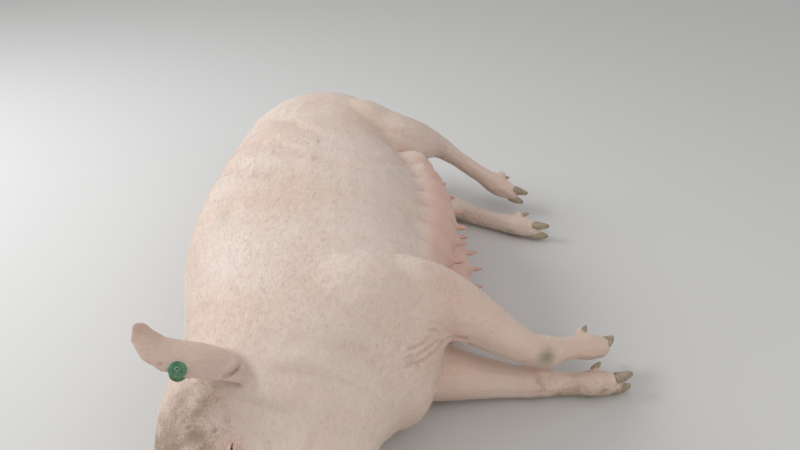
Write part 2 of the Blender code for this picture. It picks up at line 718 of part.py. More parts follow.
def main():
    clear_scene()
    sow = make_collection("Sow")
    helpers = make_collection("Helpers")
    skin = make_material("sow_skin", BODY_COLOUR, 0.6)
    udder_skin = make_material("sow_udder_skin", UDDER_COLOUR, 0.55)
    ear_skin = make_material("sow_ear_skin", EAR_COLOUR, 0.6)
    horn = make_material("sow_claw_horn", CLAW_COLOUR, 0.5)
    eye_shine = make_material("sow_eye", EYE_COLOUR, 0.1)
    tag_plastic = make_material("ear_tag_plastic", TAG_COLOUR, 0.4)

    flesh = make_flesh(sow)
    size = Vector((2.0, 3.0, FLOOR_MARGIN))
    below = box("below_floor", (0.0, 0.0, -size.z), size, 0.0, helpers)
    boolean(flesh, below, "DIFFERENCE")
    bpy.data.objects.remove(below, do_unlink=True)

    room = swollen_copy(flesh, GAP + 0.0002, helpers)
    ears = [
        ear("ear_left", LEFT_EAR, 0.42, Vector((0.10, -0.05, 1.0)), sow),
        ear("ear_right", RIGHT_EAR, 0.10, Vector((0.0, 0.0, 1.0)), sow),
    ]
    for piece in ears:
        boolean(piece, room, "DIFFERENCE")
    bpy.data.objects.remove(room, do_unlink=True)
    tag, hole = tag_pieces(ears[0], sow)
    boolean(ears[0], hole, "DIFFERENCE")
    bpy.data.objects.remove(hole, do_unlink=True)

    hard_pieces = []
    tree = tree_of(flesh)
    for name, (x, y, side) in EYES.items():
        location, _ = surface_point(tree, Vector((x, y, 0.13 + 0.4 * side)), Vector((0.0, 0.0, -side)))
        centre = location - Vector((0.0, 0.0, (EYE_RADIUS - EYE_PROUD) * side))
        bm = bmesh.new()
        bmesh.ops.create_uvsphere(bm, u_segments=10, v_segments=7, radius=EYE_RADIUS)
        bmesh.ops.translate(bm, vec=centre, verts=bm.verts)
        eye = object_from_bmesh(name, bm, sow)
        hard_pieces.append((eye, eye_shine))
    for leg, stations, tilt in (
        ("foreleg_left", LEFT_FORELEG, -0.10),
        ("foreleg_right", RIGHT_FORELEG, 0.0),
        ("hindleg_left", LEFT_HINDLEG, -0.10),
        ("hindleg_right", RIGHT_HINDLEG, 0.0),
    ):
        for claw in foot_claws(leg, stations, tilt, sow):
            hard_pieces.append((claw, horn))
    for piece, _ in hard_pieces:
        room = swollen_copy(piece, GAP + 0.0002, helpers)
        boolean(flesh, room, "DIFFERENCE", "MANIFOLD")
        bpy.data.objects.remove(room, do_unlink=True)

    pieces = part_flesh(flesh, sow, helpers)
    for piece in pieces:
        piece.data.materials.clear()
        piece.data.materials.append(udder_skin if piece.name == "udder" else skin)
    for piece in ears:
        piece.data.materials.clear()
        piece.data.materials.append(ear_skin)
    for piece, material in hard_pieces:
        piece.data.materials.clear()
        piece.data.materials.append(material)
    for piece in tag:
        piece.data.materials.append(tag_plastic)
    everything = pieces + ears + [piece for piece, _ in hard_pieces] + tag
    for piece in everything:
        piece.data.name = piece.name
        piece.data.shade_smooth()
        piece.data.set_sharp_from_angle(angle=math.radians(SHARP_ANGLE))
    centre_on_floor(everything)


main()
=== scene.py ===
"""A large white sow lying stretched out on her right side, finished as a life-size still model.

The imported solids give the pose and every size. Here one skin takes the place of the flesh solids, with
the lids, lips, folds, teats and ears worked into it, and a thin coat of bristles stands on it. The eyes,
claws and ear tag are pieces of their own. Her snout points to -Y, her back to -X and her left side up.
"""

import logging
import math
from dataclasses import dataclass
from enum import Enum
from typing import Optional, Sequence

import bmesh
import bpy
import numpy as np
from mathutils import Matrix, Vector
from mathutils.bvhtree import BVHTree


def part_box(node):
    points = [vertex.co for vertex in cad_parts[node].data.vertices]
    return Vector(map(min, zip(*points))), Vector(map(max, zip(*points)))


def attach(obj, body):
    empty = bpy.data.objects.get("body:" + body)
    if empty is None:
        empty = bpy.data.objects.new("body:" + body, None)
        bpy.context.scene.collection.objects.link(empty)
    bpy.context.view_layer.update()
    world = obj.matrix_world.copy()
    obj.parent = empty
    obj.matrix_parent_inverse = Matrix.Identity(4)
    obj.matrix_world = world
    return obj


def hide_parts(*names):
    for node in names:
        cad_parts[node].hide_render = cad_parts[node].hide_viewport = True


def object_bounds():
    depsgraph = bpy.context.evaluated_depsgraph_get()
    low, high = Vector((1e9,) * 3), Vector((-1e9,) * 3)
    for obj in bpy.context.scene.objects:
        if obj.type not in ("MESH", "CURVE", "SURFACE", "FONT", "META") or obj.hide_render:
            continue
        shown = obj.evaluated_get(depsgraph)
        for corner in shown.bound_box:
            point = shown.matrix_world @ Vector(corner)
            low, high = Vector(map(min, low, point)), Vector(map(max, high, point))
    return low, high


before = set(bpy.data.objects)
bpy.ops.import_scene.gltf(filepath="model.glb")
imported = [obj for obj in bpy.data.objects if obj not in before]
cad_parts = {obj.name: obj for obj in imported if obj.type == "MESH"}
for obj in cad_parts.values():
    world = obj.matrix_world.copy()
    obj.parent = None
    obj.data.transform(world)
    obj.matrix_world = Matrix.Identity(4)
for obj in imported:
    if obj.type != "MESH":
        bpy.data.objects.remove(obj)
CAD_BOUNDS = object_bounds()

LOG = logging.getLogger("sow")
Colour = tuple[float, float, float]
Place = tuple[float, float, float]


class Part(Enum):
    """The solids of flesh that the skin replaces."""

    SNOUT = "snout"
    HEAD = "head"
    NECK = "neck"
    TRUNK = "trunk"
    RUMP = "rump"
    UDDER = "udder"
    TAIL = "tail"
    LEFT_EAR = "ear_left"
    RIGHT_EAR = "ear_right"
    LEFT_FORE_UPPER = "foreleg_left_upper"
    LEFT_FORE_LOWER = "foreleg_left_lower"
    RIGHT_FORE_UPPER = "foreleg_right_upper"
    RIGHT_FORE_LOWER = "foreleg_right_lower"
    LEFT_HIND_UPPER = "hindleg_left_upper"
    LEFT_HIND_LOWER = "hindleg_left_lower"
    RIGHT_HIND_UPPER = "hindleg_right_upper"
    RIGHT_HIND_LOWER = "hindleg_right_lower"


class Leg(Enum):
    """The four legs, by the names of their solids."""

    LEFT_FORE = "foreleg_left"
    RIGHT_FORE = "foreleg_right"
    LEFT_HIND = "hindleg_left"
    RIGHT_HIND = "hindleg_right"


class Side(Enum):
    """Her own left and right; the value is the way that side faces along Z."""

    LEFT = 1.0
    RIGHT = -1.0

    @property
    def word(self) -> str:
        """The side's name as the solids spell it."""
        return self.name.lower()


PARTS = list(Part)
EARS = (Part.LEFT_EAR, Part.RIGHT_EAR)
FACE = (Part.SNOUT, Part.HEAD)
UPPER_LEGS = (Part.LEFT_FORE_UPPER, Part.RIGHT_FORE_UPPER, Part.LEFT_HIND_UPPER, Part.RIGHT_HIND_UPPER)
LOWER_LEGS = (Part.LEFT_FORE_LOWER, Part.RIGHT_FORE_LOWER, Part.LEFT_HIND_LOWER, Part.RIGHT_HIND_LOWER)
BARREL = (Part.NECK, Part.TRUNK, Part.RUMP)
UP = np.array([0.0, 0.0, 1.0])
# Folds wider than the first get one round of smoothing for each multiple of the second.
WIDE_FOLD = 0.010
WIDE_FOLD_ROUND = 0.0060


@dataclass(frozen=True)
class Box:
    """The box that holds one or more solids."""

    low: np.ndarray
    high: np.ndarray

    @classmethod
    def of(cls, *nodes: str) -> "Box":
        """The box round these solids.

        Args:
            nodes: Names of solids in the frame.

        Returns:
            Their common box.
        """
        corners = np.array([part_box(node) for node in nodes])
        return cls(corners[:, 0].min(axis=0), corners[:, 1].max(axis=0))

    def at(self, x: float, y: float, z: float) -> np.ndarray:
        """The point at these shares of the box, from its low corner."""
        return self.low + (self.high - self.low) * np.array([x, y, z])

    @property
    def size(self) -> np.ndarray:
        """Length of the box along each axis."""
        return self.high - self.low


def unit(vectors: np.ndarray) -> np.ndarray:
    """The same directions at length one."""
    length = np.linalg.norm(vectors, axis=-1, keepdims=True)
    return vectors / np.maximum(length, 1e-9)


def smoothstep(values: np.ndarray, low: float, high: float) -> np.ndarray:
    """Zero below low, one above high, and a smooth rise between them."""
    share = np.clip((values - low) / (high - low), 0.0, 1.0)
    return share * share * (3.0 - 2.0 * share)


def bell(distance: np.ndarray, width: float) -> np.ndarray:
    """A bell curve that is one at distance zero and falls off over width."""
    return np.exp(-((distance / width) ** 2))


def spline(points: Sequence[Place], step: float) -> np.ndarray:
    """Points about step apart on a smooth curve through the given ones.

    Args:
        points: The places that the curve passes through.
        step: Distance between neighbouring points of the result.

    Returns:
        The points of the curve, one a row.
    """
    knots = np.array(points, dtype=float)
    knots = np.vstack([2.0 * knots[0] - knots[1], knots, 2.0 * knots[-1] - knots[-2]])
    found = []
    for before, start, end, after in zip(knots, knots[1:], knots[2:], knots[3:]):
        count = max(2, int(np.linalg.norm(end - start) / step))
        for share in np.arange(count) / count:
            found.append(
                0.5
                * (
                    2.0 * start
                    + (end - before) * share
                    + (2.0 * before - 5.0 * start + 4.0 * end - after) * share**2
                    + (3.0 * start - before - 3.0 * end + after) * share**3
                )
            )
    found.append(knots[-2])
    return np.array(found)


def mesh_object(name: str, mesh: bpy.types.Mesh) -> bpy.types.Object:
    """A new object of this mesh, linked into the scene."""
    piece = bpy.data.objects.new(name, mesh)
    bpy.context.scene.collection.objects.link(piece)
    return piece


def applied(piece: bpy.types.Object) -> bpy.types.Mesh:
    """The object's mesh with its modifiers carried out; the object itself goes."""
    bpy.context.view_layer.update()
    graph = bpy.context.evaluated_depsgraph_get()
    mesh = bpy.data.meshes.new_from_object(piece.evaluated_get(graph))
    bpy.data.objects.remove(piece, do_unlink=True)
    return mesh


def welded_bmesh(node: str) -> bmesh.types.BMesh:
    """A solid's mesh with its split points joined again."""
    bm = bmesh.new()
    bm.from_mesh(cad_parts[node].data)
    bmesh.ops.remove_doubles(bm, verts=bm.verts, dist=1e-5)
    bmesh.ops.recalc_face_normals(bm, faces=bm.faces)
    bm.normal_update()
    return bm


class Hide:
    """The skin's mesh as arrays, with the tools that shape it."""

    def __init__(self, mesh: bpy.types.Mesh) -> None:
        """Read a mesh.

        Args:
            mesh: The mesh to shape; it is written back by store.
        """
        self.mesh = mesh
        self.read()

    def read(self) -> None:
        """Take points, normals and edges from the mesh."""
        count = len(self.mesh.vertices)
        self.points = np.empty(count * 3, np.float32)
        self.mesh.vertices.foreach_get("co", self.points)
        self.points = self.points.reshape(-1, 3).astype(float)
        edges = np.empty(len(self.mesh.edges) * 2, np.int32)
        self.mesh.edges.foreach_get("vertices", edges)
        self.edges = edges.reshape(-1, 2)
        self.valence = np.maximum(np.bincount(self.edges.ravel(), minlength=count), 1)
        self.read_normals()

    @property
    def triangles(self) -> np.ndarray:
        """The corner points of the skin's triangles."""
        self.mesh.calc_loop_triangles()
        found = np.empty(len(self.mesh.loop_triangles) * 3, np.int32)
        self.mesh.loop_triangles.foreach_get("vertices", found)
        return found.reshape(-1, 3)

    def read_normals(self) -> None:
        """Take the normals of the stored points."""
        normals = np.empty(len(self.mesh.vertices) * 3, np.float32)
        self.mesh.vertex_normals.foreach_get("vector", normals)
        self.normals = normals.reshape(-1, 3).astype(float)

    def store(self) -> None:
        """Write the points back and renew the normals."""
        self.mesh.vertices.foreach_set("co", self.points.astype(np.float32).ravel())
        self.mesh.update()
        self.read_normals()

    def neighbours_mean(self, values: np.ndarray) -> np.ndarray:
        """The mean of each point's neighbours.

        Args:
            values: One number or one row for each point.

        Returns:
            An array of the same shape.
        """
        columns = values.reshape(len(values), -1)
        first, second = self.edges[:, 0], self.edges[:, 1]
        result = np.empty_like(columns)
        for index in range(columns.shape[1]):
            column = columns[:, index]
            total = np.bincount(first, column[second], len(column))
            total += np.bincount(second, column[first], len(column))
            result[:, index] = total / self.valence
        return result.reshape(values.shape)

    def blur(self, values: np.ndarray, rounds: int) -> np.ndarray:
        """Values spread over the surface by averaging with their neighbours."""
        for _ in range(rounds):
            values = 0.5 * values + 0.5 * self.neighbours_mean(values)
        return values

    def relax(self, weights: np.ndarray, rounds: int) -> None:
        """Smooth the surface without shrinking it.

        Args:
            weights: How far each point takes part, from zero to one.
            rounds: Number of pairs of steps.
        """
        for _ in range(rounds):
            for step in (0.52, -0.53):
                pull = self.neighbours_mean(self.points) - self.points
                self.points += pull * (step * weights)[:, None]
        self.store()

    def hollows(self, rounds: int) -> np.ndarray:
        """How far each point lies below the mean of the skin round it.

        Args:
            rounds: Rounds of blurring, which set how wide an area the mean takes in.

        Returns:
            One depth for each point, negative on a rise.
        """
        return ((self.blur(self.points, rounds) - self.points) * self.normals).sum(axis=1)

    def near(self, centre: np.ndarray, reach: float) -> np.ndarray:
        """Indices of the points within reach of a place."""
        return np.flatnonzero(((self.points - centre) ** 2).sum(axis=1) < reach * reach)

    def raise_by(self, amount: np.ndarray) -> None:
        """Move each point along its normal by its own amount and renew the normals."""
        self.points += self.normals * amount[:, None]
        self.store()

    def thin_out(self, chosen: np.ndarray, keep: float) -> None:
        """Merge small faces on plain stretches of the skin.

        Args:
            chosen: One where faces may be merged, zero where not.
            keep: The share of all faces that stays.
        """
        piece = mesh_object("thinned", self.mesh)
        group = piece.vertex_groups.new(name="plain")
        group.add(np.flatnonzero(chosen > 0.99).tolist(), 1.0, "REPLACE")
        modifier = piece.modifiers.new("Thin out", "DECIMATE")
        modifier.ratio = keep
        modifier.vertex_group = group.name
        self.mesh = applied(piece)
        self.read()

    def refine(self, chosen: np.ndarray) -> None:
        """Halve the edges of the faces whose points are all chosen.

        Args:
            chosen: True for the points of the patch to refine.
        """
        bm = bmesh.new()
        bm.from_mesh(self.mesh)
        flags = chosen.tolist()
        edges = [e for e in bm.edges if flags[e.verts[0].index] and flags[e.verts[1].index]]
        bmesh.ops.subdivide_edges(bm, edges=edges, cuts=1, use_grid_fill=True, smooth=0.0)
        loose = [face for face in bm.faces if len(face.verts) > 4]
        bmesh.ops.triangulate(bm, faces=loose)
        bm.to_mesh(self.mesh)
        bm.free()
        self.mesh.update()
        self.read()


@dataclass(frozen=True)
class Fold:
    """A crease in the skin along a curve, with a soft roll beside it.

    Attributes:
        points: Places the crease passes through, snapped to the skin.
        width: Half width of the crease.
        depth: How deep the crease is.
        roll: Height of the roll on its left side, seen along the curve from outside.
        other_roll: Height of the roll on its right side.
        reach: How far from the given places skin is still taken for the crease's own.
    """

    points: tuple[Place, ...]
    width: float
    depth: float
    roll: float = 0.0
    other_roll: float = 0.0
    reach: float = 0.06

    def press(self, hide: Hide) -> np.ndarray:
        """The height that the crease adds at each point of the skin.

        Args:
            hide: The skin.

        Returns:
            One height for each of the skin's points.
        """
        step = max(self.width * 0.5, 0.002)
        line = spline(self.points, step)
        middle = line.mean(axis=0)
        extent = np.linalg.norm(line - middle, axis=1).max() + self.width * 6.0 + self.reach
        area = hide.near(middle, extent)
        points = hide.points[area]
        normals = hide.normals[area]
        snapped = np.empty_like(line)
        facing = np.empty_like(line)
        for index, place in enumerate(line):
            nearest = ((points - place) ** 2).sum(axis=1).argmin()
            snapped[index] = points[nearest]
            facing[index] = normals[nearest]
        for _ in range(6):
            snapped[1:-1] = 0.5 * snapped[1:-1] + 0.25 * (snapped[:-2] + snapped[2:])
        along = np.gradient(snapped, axis=0)
        to_left = unit(np.cross(facing, unit(along)))
        best = np.full(len(points), np.inf)
        share = np.zeros(len(points))
        side = np.zeros(len(points))
        for index, place in enumerate(snapped):
            offset = points - place
            distance = (offset**2).sum(axis=1)
            closer = distance < best
            best = np.where(closer, distance, best)
            share = np.where(closer, index / (len(snapped) - 1), share)
            side = np.where(closer, offset @ to_left[index], side)
        away = np.sqrt(best)
        fade = np.sqrt(np.clip(np.sin(np.pi * share), 0.0, 1.0))
        signed = np.sign(side) * away
        left = bell(signed - self.width * 2.0, self.width * 1.6) * self.roll
        right = bell(signed + self.width * 2.0, self.width * 1.6) * self.other_roll
        height = np.zeros(len(hide.points))
        height[area] = fade * (left + right - self.depth * bell(away, self.width))
        if self.width > WIDE_FOLD:
            height = hide.blur(height, int(self.width / WIDE_FOLD_ROUND))
        return height


def node_points(node: str) -> np.ndarray:
    """The corner points of a solid, one a row."""
    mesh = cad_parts[node].data
    found = np.empty(len(mesh.vertices) * 3, np.float32)
    mesh.vertices.foreach_get("co", found)
    return found.reshape(-1, 3).astype(float)


@dataclass(frozen=True)
class SkinCasting:
    """Makes the one skin out of the solids of flesh.

    Attributes:
        voxel: Mesh size of the casting.
        overlap: How far each solid grows first, so that the thin cuts between them close.
        ear_overlap: The same for the ears, whose rims are thinner than the mesh size.
        coat_depth: How far the skin lies inside the solids.
        pad: Radius of the flesh at a dewclaw's root.
        barrel_rounds: Smoothing rounds on the big soft forms.
        limb_rounds: Smoothing rounds on everything.
        udder_rounds: Smoothing rounds that the udder settles towards.
        udder_settling: The share of the way that it goes.
        ear_depth: How far the skin lies inside the solids of the ears.
        kept_faces: The share of the mesh kept on the big soft forms.
    """

    voxel: float = 0.0046
    overlap: float = 0.0010
    ear_overlap: float = 0.0026
    coat_depth: float = 0.0022
    pad: float = 0.0130
    barrel_rounds: int = 60
    limb_rounds: int = 5
    udder_rounds: int = 90
    udder_settling: float = 0.74
    ear_depth: float = 0.0004
    kept_faces: float = 0.52

    def solid_flesh(self) -> bpy.types.Object:
        """All solids of flesh, grown a little, with the sockets of the eyes and claws filled."""
        bm = bmesh.new()
        for part in PARTS:
            piece = welded_bmesh(part.value)
            growth = self.ear_overlap if part in EARS else self.overlap
            moves = [vertex.normal * growth for vertex in piece.verts]
            for vertex, move in zip(piece.verts, moves):
                vertex.co += move
            self.add_to(bm, piece)
        for side in Side:
            eye = Box.of("eye_" + side.word)
            ball = bmesh.new()
            bmesh.ops.create_uvsphere(ball, u_segments=24, v_segments=16, radius=eye.size[2] * 0.5 + 0.001)
            bmesh.ops.translate(ball, vec=eye.at(0.5, 0.5, 0.5), verts=ball.verts)
            self.add_to(bm, ball)
        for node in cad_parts:
            if "dewclaw" in node:
                self.add_pad(bm, node)
            elif "claw" in node:
                core = welded_bmesh(node)
                moves = [vertex.normal * self.overlap for vertex in core.verts]
                for vertex, move in zip(core.verts, moves):
                    vertex.co += move
                self.add_to(bm, core)
        mesh = bpy.data.meshes.new("flesh")
        bm.to_mesh(mesh)
        bm.free()
        return mesh_object("flesh", mesh)

    def add_pad(self, bm: bmesh.types.BMesh, node: str) -> None:
        """Fill the flesh between one dewclaw's root and the leg.

        Args:
            bm: The flesh.
            node: The dewclaw's solid.
        """
        leg = node_points(node.split("_dewclaw")[0] + "_lower")
        claw = node_points(node)
        distance = np.linalg.norm(claw[:, None] - leg[None], axis=2)
        row, column = np.unravel_index(distance.argmin(), distance.shape)
        core = leg.mean(axis=0)
        core[0] = leg[column][0]
        inward = unit(core - leg[column])
        inward[0] = 0.0
        ends = claw[row] - inward * 0.002, leg[column] + inward * 0.012
        for share in (0.0, 0.25, 0.5, 0.75, 1.0):
            ball = bmesh.new()
            radius = self.pad * (1.0 + 0.45 * share)
            bmesh.ops.create_uvsphere(ball, u_segments=24, v_segments=16, radius=radius)
            bmesh.ops.translate(ball, vec=ends[0] * (1.0 - share) + ends[1] * share, verts=ball.verts)
            self.add_to(bm, ball)

    @staticmethod
    def add_to(bm: bmesh.types.BMesh, piece: bmesh.types.BMesh) -> None:
        """Copy one bmesh into another and free it."""
        mesh = bpy.data.meshes.new("part")
        piece.to_mesh(mesh)
        piece.free()
        bm.from_mesh(mesh)
        bpy.data.meshes.remove(mesh)

    def cast(self) -> Hide:
        """The closed, smooth skin, before any detail."""
        flesh = self.solid_flesh()
        remesh = flesh.modifiers.new("Cast", "REMESH")
        remesh.mode = "VOXEL"
        remesh.voxel_size = self.voxel
        mesh = applied(flesh)
        self.drop_crumbs(mesh)
        hide = Hide(mesh)
        hide.store()
        return hide

    @staticmethod
    def drop_crumbs(mesh: bpy.types.Mesh) -> None:
        """Leave only the largest connected part of a mesh."""
        edges = np.empty(len(mesh.edges) * 2, np.int32)
        mesh.edges.foreach_get("vertices", edges)
        start, end = edges.reshape(-1, 2).T
        labels = np.arange(len(mesh.vertices))
        changed = True
        while changed:
            lower = np.minimum(labels[start], labels[end])
            before = labels.copy()
            np.minimum.at(labels, start, lower)
            np.minimum.at(labels, end, lower)
            labels = labels[labels]
            changed = bool((labels != before).any())
        crumbs = labels != np.bincount(labels).argmax()
        bm = bmesh.new()
        bm.from_mesh(mesh)
        bm.verts.ensure_lookup_table()
        bmesh.ops.delete(bm, geom=[bm.verts[int(index)] for index in np.flatnonzero(crumbs)], context="VERTS")
        bm.to_mesh(mesh)
        bm.free()


class PartMap:
    """Tells which solid each point of the skin stands for."""

    def __init__(self) -> None:
        """Gather the solids in one search tree."""
        corners: list[Vector] = []
        faces: list[list[int]] = []
        self.owner: list[int] = []
        for index, part in enumerate(PARTS):
            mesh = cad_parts[part.value].data
            start = len(corners)
            corners.extend(vertex.co.copy() for vertex in mesh.vertices)
            for polygon in mesh.polygons:
                faces.append([start + corner for corner in polygon.vertices])
                self.owner.append(index)
        self.tree = BVHTree.FromPolygons(corners, faces)

    def labels(self, points: np.ndarray) -> np.ndarray:
        """The index in PARTS of the solid nearest to each point."""
        find = self.tree.find_nearest
        return np.array([self.owner[find(point)[2]] for point in points.tolist()])


class Zones:
    """Soft masks over the skin, each from zero to one."""

    def __init__(self, hide: Hide, part_map: PartMap) -> None:
        """Work out the part of each point.

        Args:
            hide: The skin.
            part_map: The solids' search tree.
        """
        self.hide = hide
        self.labels = part_map.labels(hide.points)
        self.masks = np.zeros((len(hide.points), 4))

    def of(self, parts: Sequence[Part], rounds: int = 0) -> np.ndarray:
        """The mask of some parts, its edge softened by a number of blurring rounds."""
        wanted = [PARTS.index(part) for part in parts]
        return self.hide.blur(np.isin(self.labels, wanted).astype(float), rounds)


@dataclass(frozen=True)
class LidFrame:
    """Directions at one eye: out of the head, along the slit, and across it."""

    middle: np.ndarray
    out: np.ndarray
    along: np.ndarray
    across: np.ndarray

    def split(self, points: np.ndarray) -> tuple[np.ndarray, np.ndarray, np.ndarray]:
        """Heights, places along and places across of some points."""
        offset = points - self.middle
        return offset @ self.out, offset @ self.along, offset @ self.across


@dataclass
class Eyelids:
    """The lids of one eye, almost closed over the ball.

    Attributes:
        side: Which eye.
        lid: Thickness of a lid.
        half_length: Half the length of the slit.
        half_opening: Half the height of the slit at its middle.
        lift: How far the lids' dome stands out round the ball.
        patch: Radius of the skin that is worked finely.
    """

    side: Side
    lid: float = 0.0022
    half_length: float = 0.0165
    half_opening: float = 0.0020
    lift: float = 0.0022
    patch: float = 0.040

    def __post_init__(self) -> None:
        """Take the ball's size and place from its solid."""
        self.ball = Box.of("eye_" + self.side.word)
        self.middle = self.ball.at(0.5, 0.5, 0.5)
        self.radius = float(self.ball.size[2]) * 0.5

    def refine(self, hide: Hide) -> None:
        """Make the mesh fine round the eye."""
        for reach in (self.patch * 1.5, self.patch, self.patch * 0.7):
            chosen = np.zeros(len(hide.points), bool)
            chosen[hide.near(self.middle, reach)] = True
            hide.refine(chosen)

    def lid_frame(self, hide: Hide) -> LidFrame:
        """The directions at this eye, from the skin round it."""
        area = hide.near(self.middle, self.patch * 0.8)
        out = unit(hide.normals[area].mean(axis=0))
        along = np.array([-0.10, 1.0, 0.0])
        along = unit(along - out * float(along @ out))
        return LidFrame(self.middle, out, along, np.cross(out, along))

    def shape(self, hide: Hide) -> None:
        """Draw the lids over the ball and leave the slit."""
        lids = self.lid_frame(hide)
        area = hide.near(self.middle, self.patch)
        points = hide.points[area]
        height, along, across = lids.split(points)
        aside = np.hypot(along * 0.86, across)
        dome = np.sqrt(np.maximum((self.radius + self.lid) ** 2 - aside**2, 0.0))
        soft = 0.0025
        mixed = 0.5 * (height + dome + np.sqrt((height - dome) ** 2 + soft**2))
        covered = 1.0 - smoothstep(aside, self.radius * 0.95, self.radius * 1.9)
        shaped = height + (mixed - height) * covered
        shaped += self.lift * bell(aside - self.radius * 0.4, self.radius * 0.55)
        for distance, depth in ((0.0052, 0.0011), (0.0098, 0.0013), (0.0150, 0.0011), (0.0205, 0.0008)):
            length = self.half_length + distance * 0.7
            ring = np.hypot(along * distance / length, across) - distance
            fade = 1.0 - smoothstep(np.abs(along), length * 0.75, length * 1.1)
            shaped -= depth * bell(ring, 0.0011) * fade
        bow = 0.0018 * (1.0 - (along / self.half_length) ** 2)
        inside = np.clip(1.0 - (along / self.half_length) ** 2, 0.0, 1.0)
        opening = self.half_opening * np.sqrt(inside)
        gap = np.abs(across - bow) - opening
        sunk = np.sqrt(np.maximum(self.radius**2 - aside**2, 0.0)) - 0.004
        shaped += 0.0009 * bell(gap - 0.0012, 0.0011) * (inside > 0.0)
        open_share = (1.0 - smoothstep(gap, -0.0002, 0.0009)) * smoothstep(inside, 0.0, 0.08)
        shaped = shaped * (1.0 - open_share) + np.minimum(sunk, shaped) * open_share
        hide.points[area] = points + lids.out * (shaped - height)[:, None]
        hide.store()


@dataclass
class Muzzle:
    """The snout's disc with its rim and nostrils, and the mouth behind it.

    Attributes:
        nostril_apart: Distance of each nostril from the disc's middle.
        nostril_size: Half width and half height of a nostril.
        nostril_depth: How deep a nostril goes.
        rim: Height of the disc's rim.
        mouth_depth: Depth of the line between the lips.
    """

    nostril_apart: float = 0.0205
    nostril_size: tuple[float, float] = (0.0075, 0.0100)
    nostril_depth: float = 0.016
    rim: float = 0.0045
    mouth_depth: float = 0.0052

    def __post_init__(self) -> None:
        """Take the disc's place from the snout's solid."""
        self.box = Box.of("snout")
        self.front = float(self.box.low[1])

    def disc_middle(self, hide: Hide) -> np.ndarray:
        """Middle of the skin's foremost face."""
        face = hide.points[hide.points[:, 1] < self.front + 0.012]
        return 0.5 * (face.min(axis=0) + face.max(axis=0))

    def refine(self, hide: Hide) -> None:
        """Make the mesh fine on the disc and along the mouth."""
        hide.refine(hide.points[:, 1] < self.front + 0.170)
        hide.refine(hide.points[:, 1] < self.front + 0.026)

    def shape(self, hide: Hide) -> None:
        """Form the disc, the nostrils, the wrinkles over the snout and the mouth."""
        middle = self.disc_middle(hide)
        self.round_outline(hide, middle)
        back = hide.points[:, 1] - self.front
        offset = hide.points - middle
        round_disc = np.hypot(offset[:, 0], offset[:, 2])
        radius = float(round_disc[back < 0.02].max())
        facing = np.clip(-hide.normals[:, 1], 0.0, 1.0)
        on_disc = (1.0 - smoothstep(back, 0.010, 0.022)) * smoothstep(facing, 0.3, 0.8)
        flare = bell(back - 0.008, 0.010) * (1.0 - facing)
        outward = unit(offset * np.array([1.0, 0.0, 1.0]))
        hide.points += outward * (flare * self.rim)[:, None]
        rim = bell(round_disc - radius * 0.86, radius * 0.10)
        dish = 1.0 - smoothstep(round_disc, radius * 0.2, radius * 0.8)
        hide.points[:, 1] += on_disc * (0.0035 * dish - 0.0018 * rim)
        groove = bell(offset[:, 2], 0.0022) * smoothstep(offset[:, 0], -0.004, 0.016)
        hide.points[:, 1] += on_disc * 0.0022 * groove
        for side in Side:
            across = (offset[:, 2] - side.value * self.nostril_apart) / self.nostril_size[0]
            tall = (offset[:, 0] + 0.006) / self.nostril_size[1]
            lean = across + 0.25 * side.value * tall
            away = np.hypot(lean, tall)
            hole = 1.0 - smoothstep(away, 0.55, 1.1)
            lip = bell(away - 1.35, 0.28)
            hide.points[:, 1] += on_disc * (self.nostril_depth * hole - 0.0016 * lip)
        hide.store()
        self.wrinkle(hide, middle)
        self.open_mouth(hide)

    def round_outline(self, hide: Hide, middle: np.ndarray) -> None:
        """Take the corners off the disc's outline.

        Args:
            hide: The skin.
            middle: The disc's middle.
        """
        bins = 72
        back = hide.points[:, 1] - self.front
        offset = hide.points - middle
        radius = np.hypot(offset[:, 0], offset[:, 2])
        turn = np.arctan2(offset[:, 2], offset[:, 0]) / (2.0 * np.pi) % 1.0 * bins
        near = back < 0.024
        outline = np.zeros(bins)
        np.maximum.at(outline, turn[near].astype(int) % bins, radius[near])
        smooth = outline.copy()
        for _ in range(14):
            smooth = 0.5 * smooth + 0.25 * (np.roll(smooth, 1) + np.roll(smooth, -1))
        ratio = smooth / np.maximum(outline, 1e-6)
        below = np.floor(turn - 0.5).astype(int)
        mix = turn - 0.5 - below
        scale = ratio[below % bins] * (1.0 - mix) + ratio[(below + 1) % bins] * mix
        change = (scale - 1.0) * (1.0 - smoothstep(back, 0.018, 0.045)) * (radius < 0.12)
        hide.points += offset * np.array([1.0, 0.0, 1.0]) * change[:, None]
        hide.store()

    def wrinkle(self, hide: Hide, middle: np.ndarray) -> None:
        """Shallow rings of folded skin behind the disc, deepest on the bridge."""
        back = hide.points[:, 1] - self.front
        height = np.zeros(len(hide.points))
        bridge = smoothstep(-hide.normals[:, 0], -0.5, 0.7)
        wrinkles = ((0.024, 0.0018), (0.036, 0.0015), (0.050, 0.0012), (0.066, 0.0008))
        for index, (place, depth) in enumerate(wrinkles):
            wave = 0.003 * np.sin((hide.points[:, 2] - middle[2]) * 60.0 + index)
            height -= depth * bell(back - place - wave, 0.0026) * bridge
            height += 0.5 * depth * bell(back - place - wave - 0.006, 0.0035) * bridge
        hide.raise_by(height)

    def mouth_line(self, side: Side) -> tuple[Place, ...]:
        """The places that one side's lip line passes through."""
        shares = (
            (0.80, 0.14, 0.50),
            (0.83, 0.22, 0.50 + 0.30 * side.value),
            (0.76, 0.42, 0.50 + 0.46 * side.value),
            (0.72, 0.75, 0.50 + 0.50 * side.value),
            (0.76, 1.10, 0.50 + 0.56 * side.value),
            (0.80, 1.36, 0.50 + 0.62 * side.value),
        )
        return tuple(tuple(self.box.at(*share)) for share in shares)

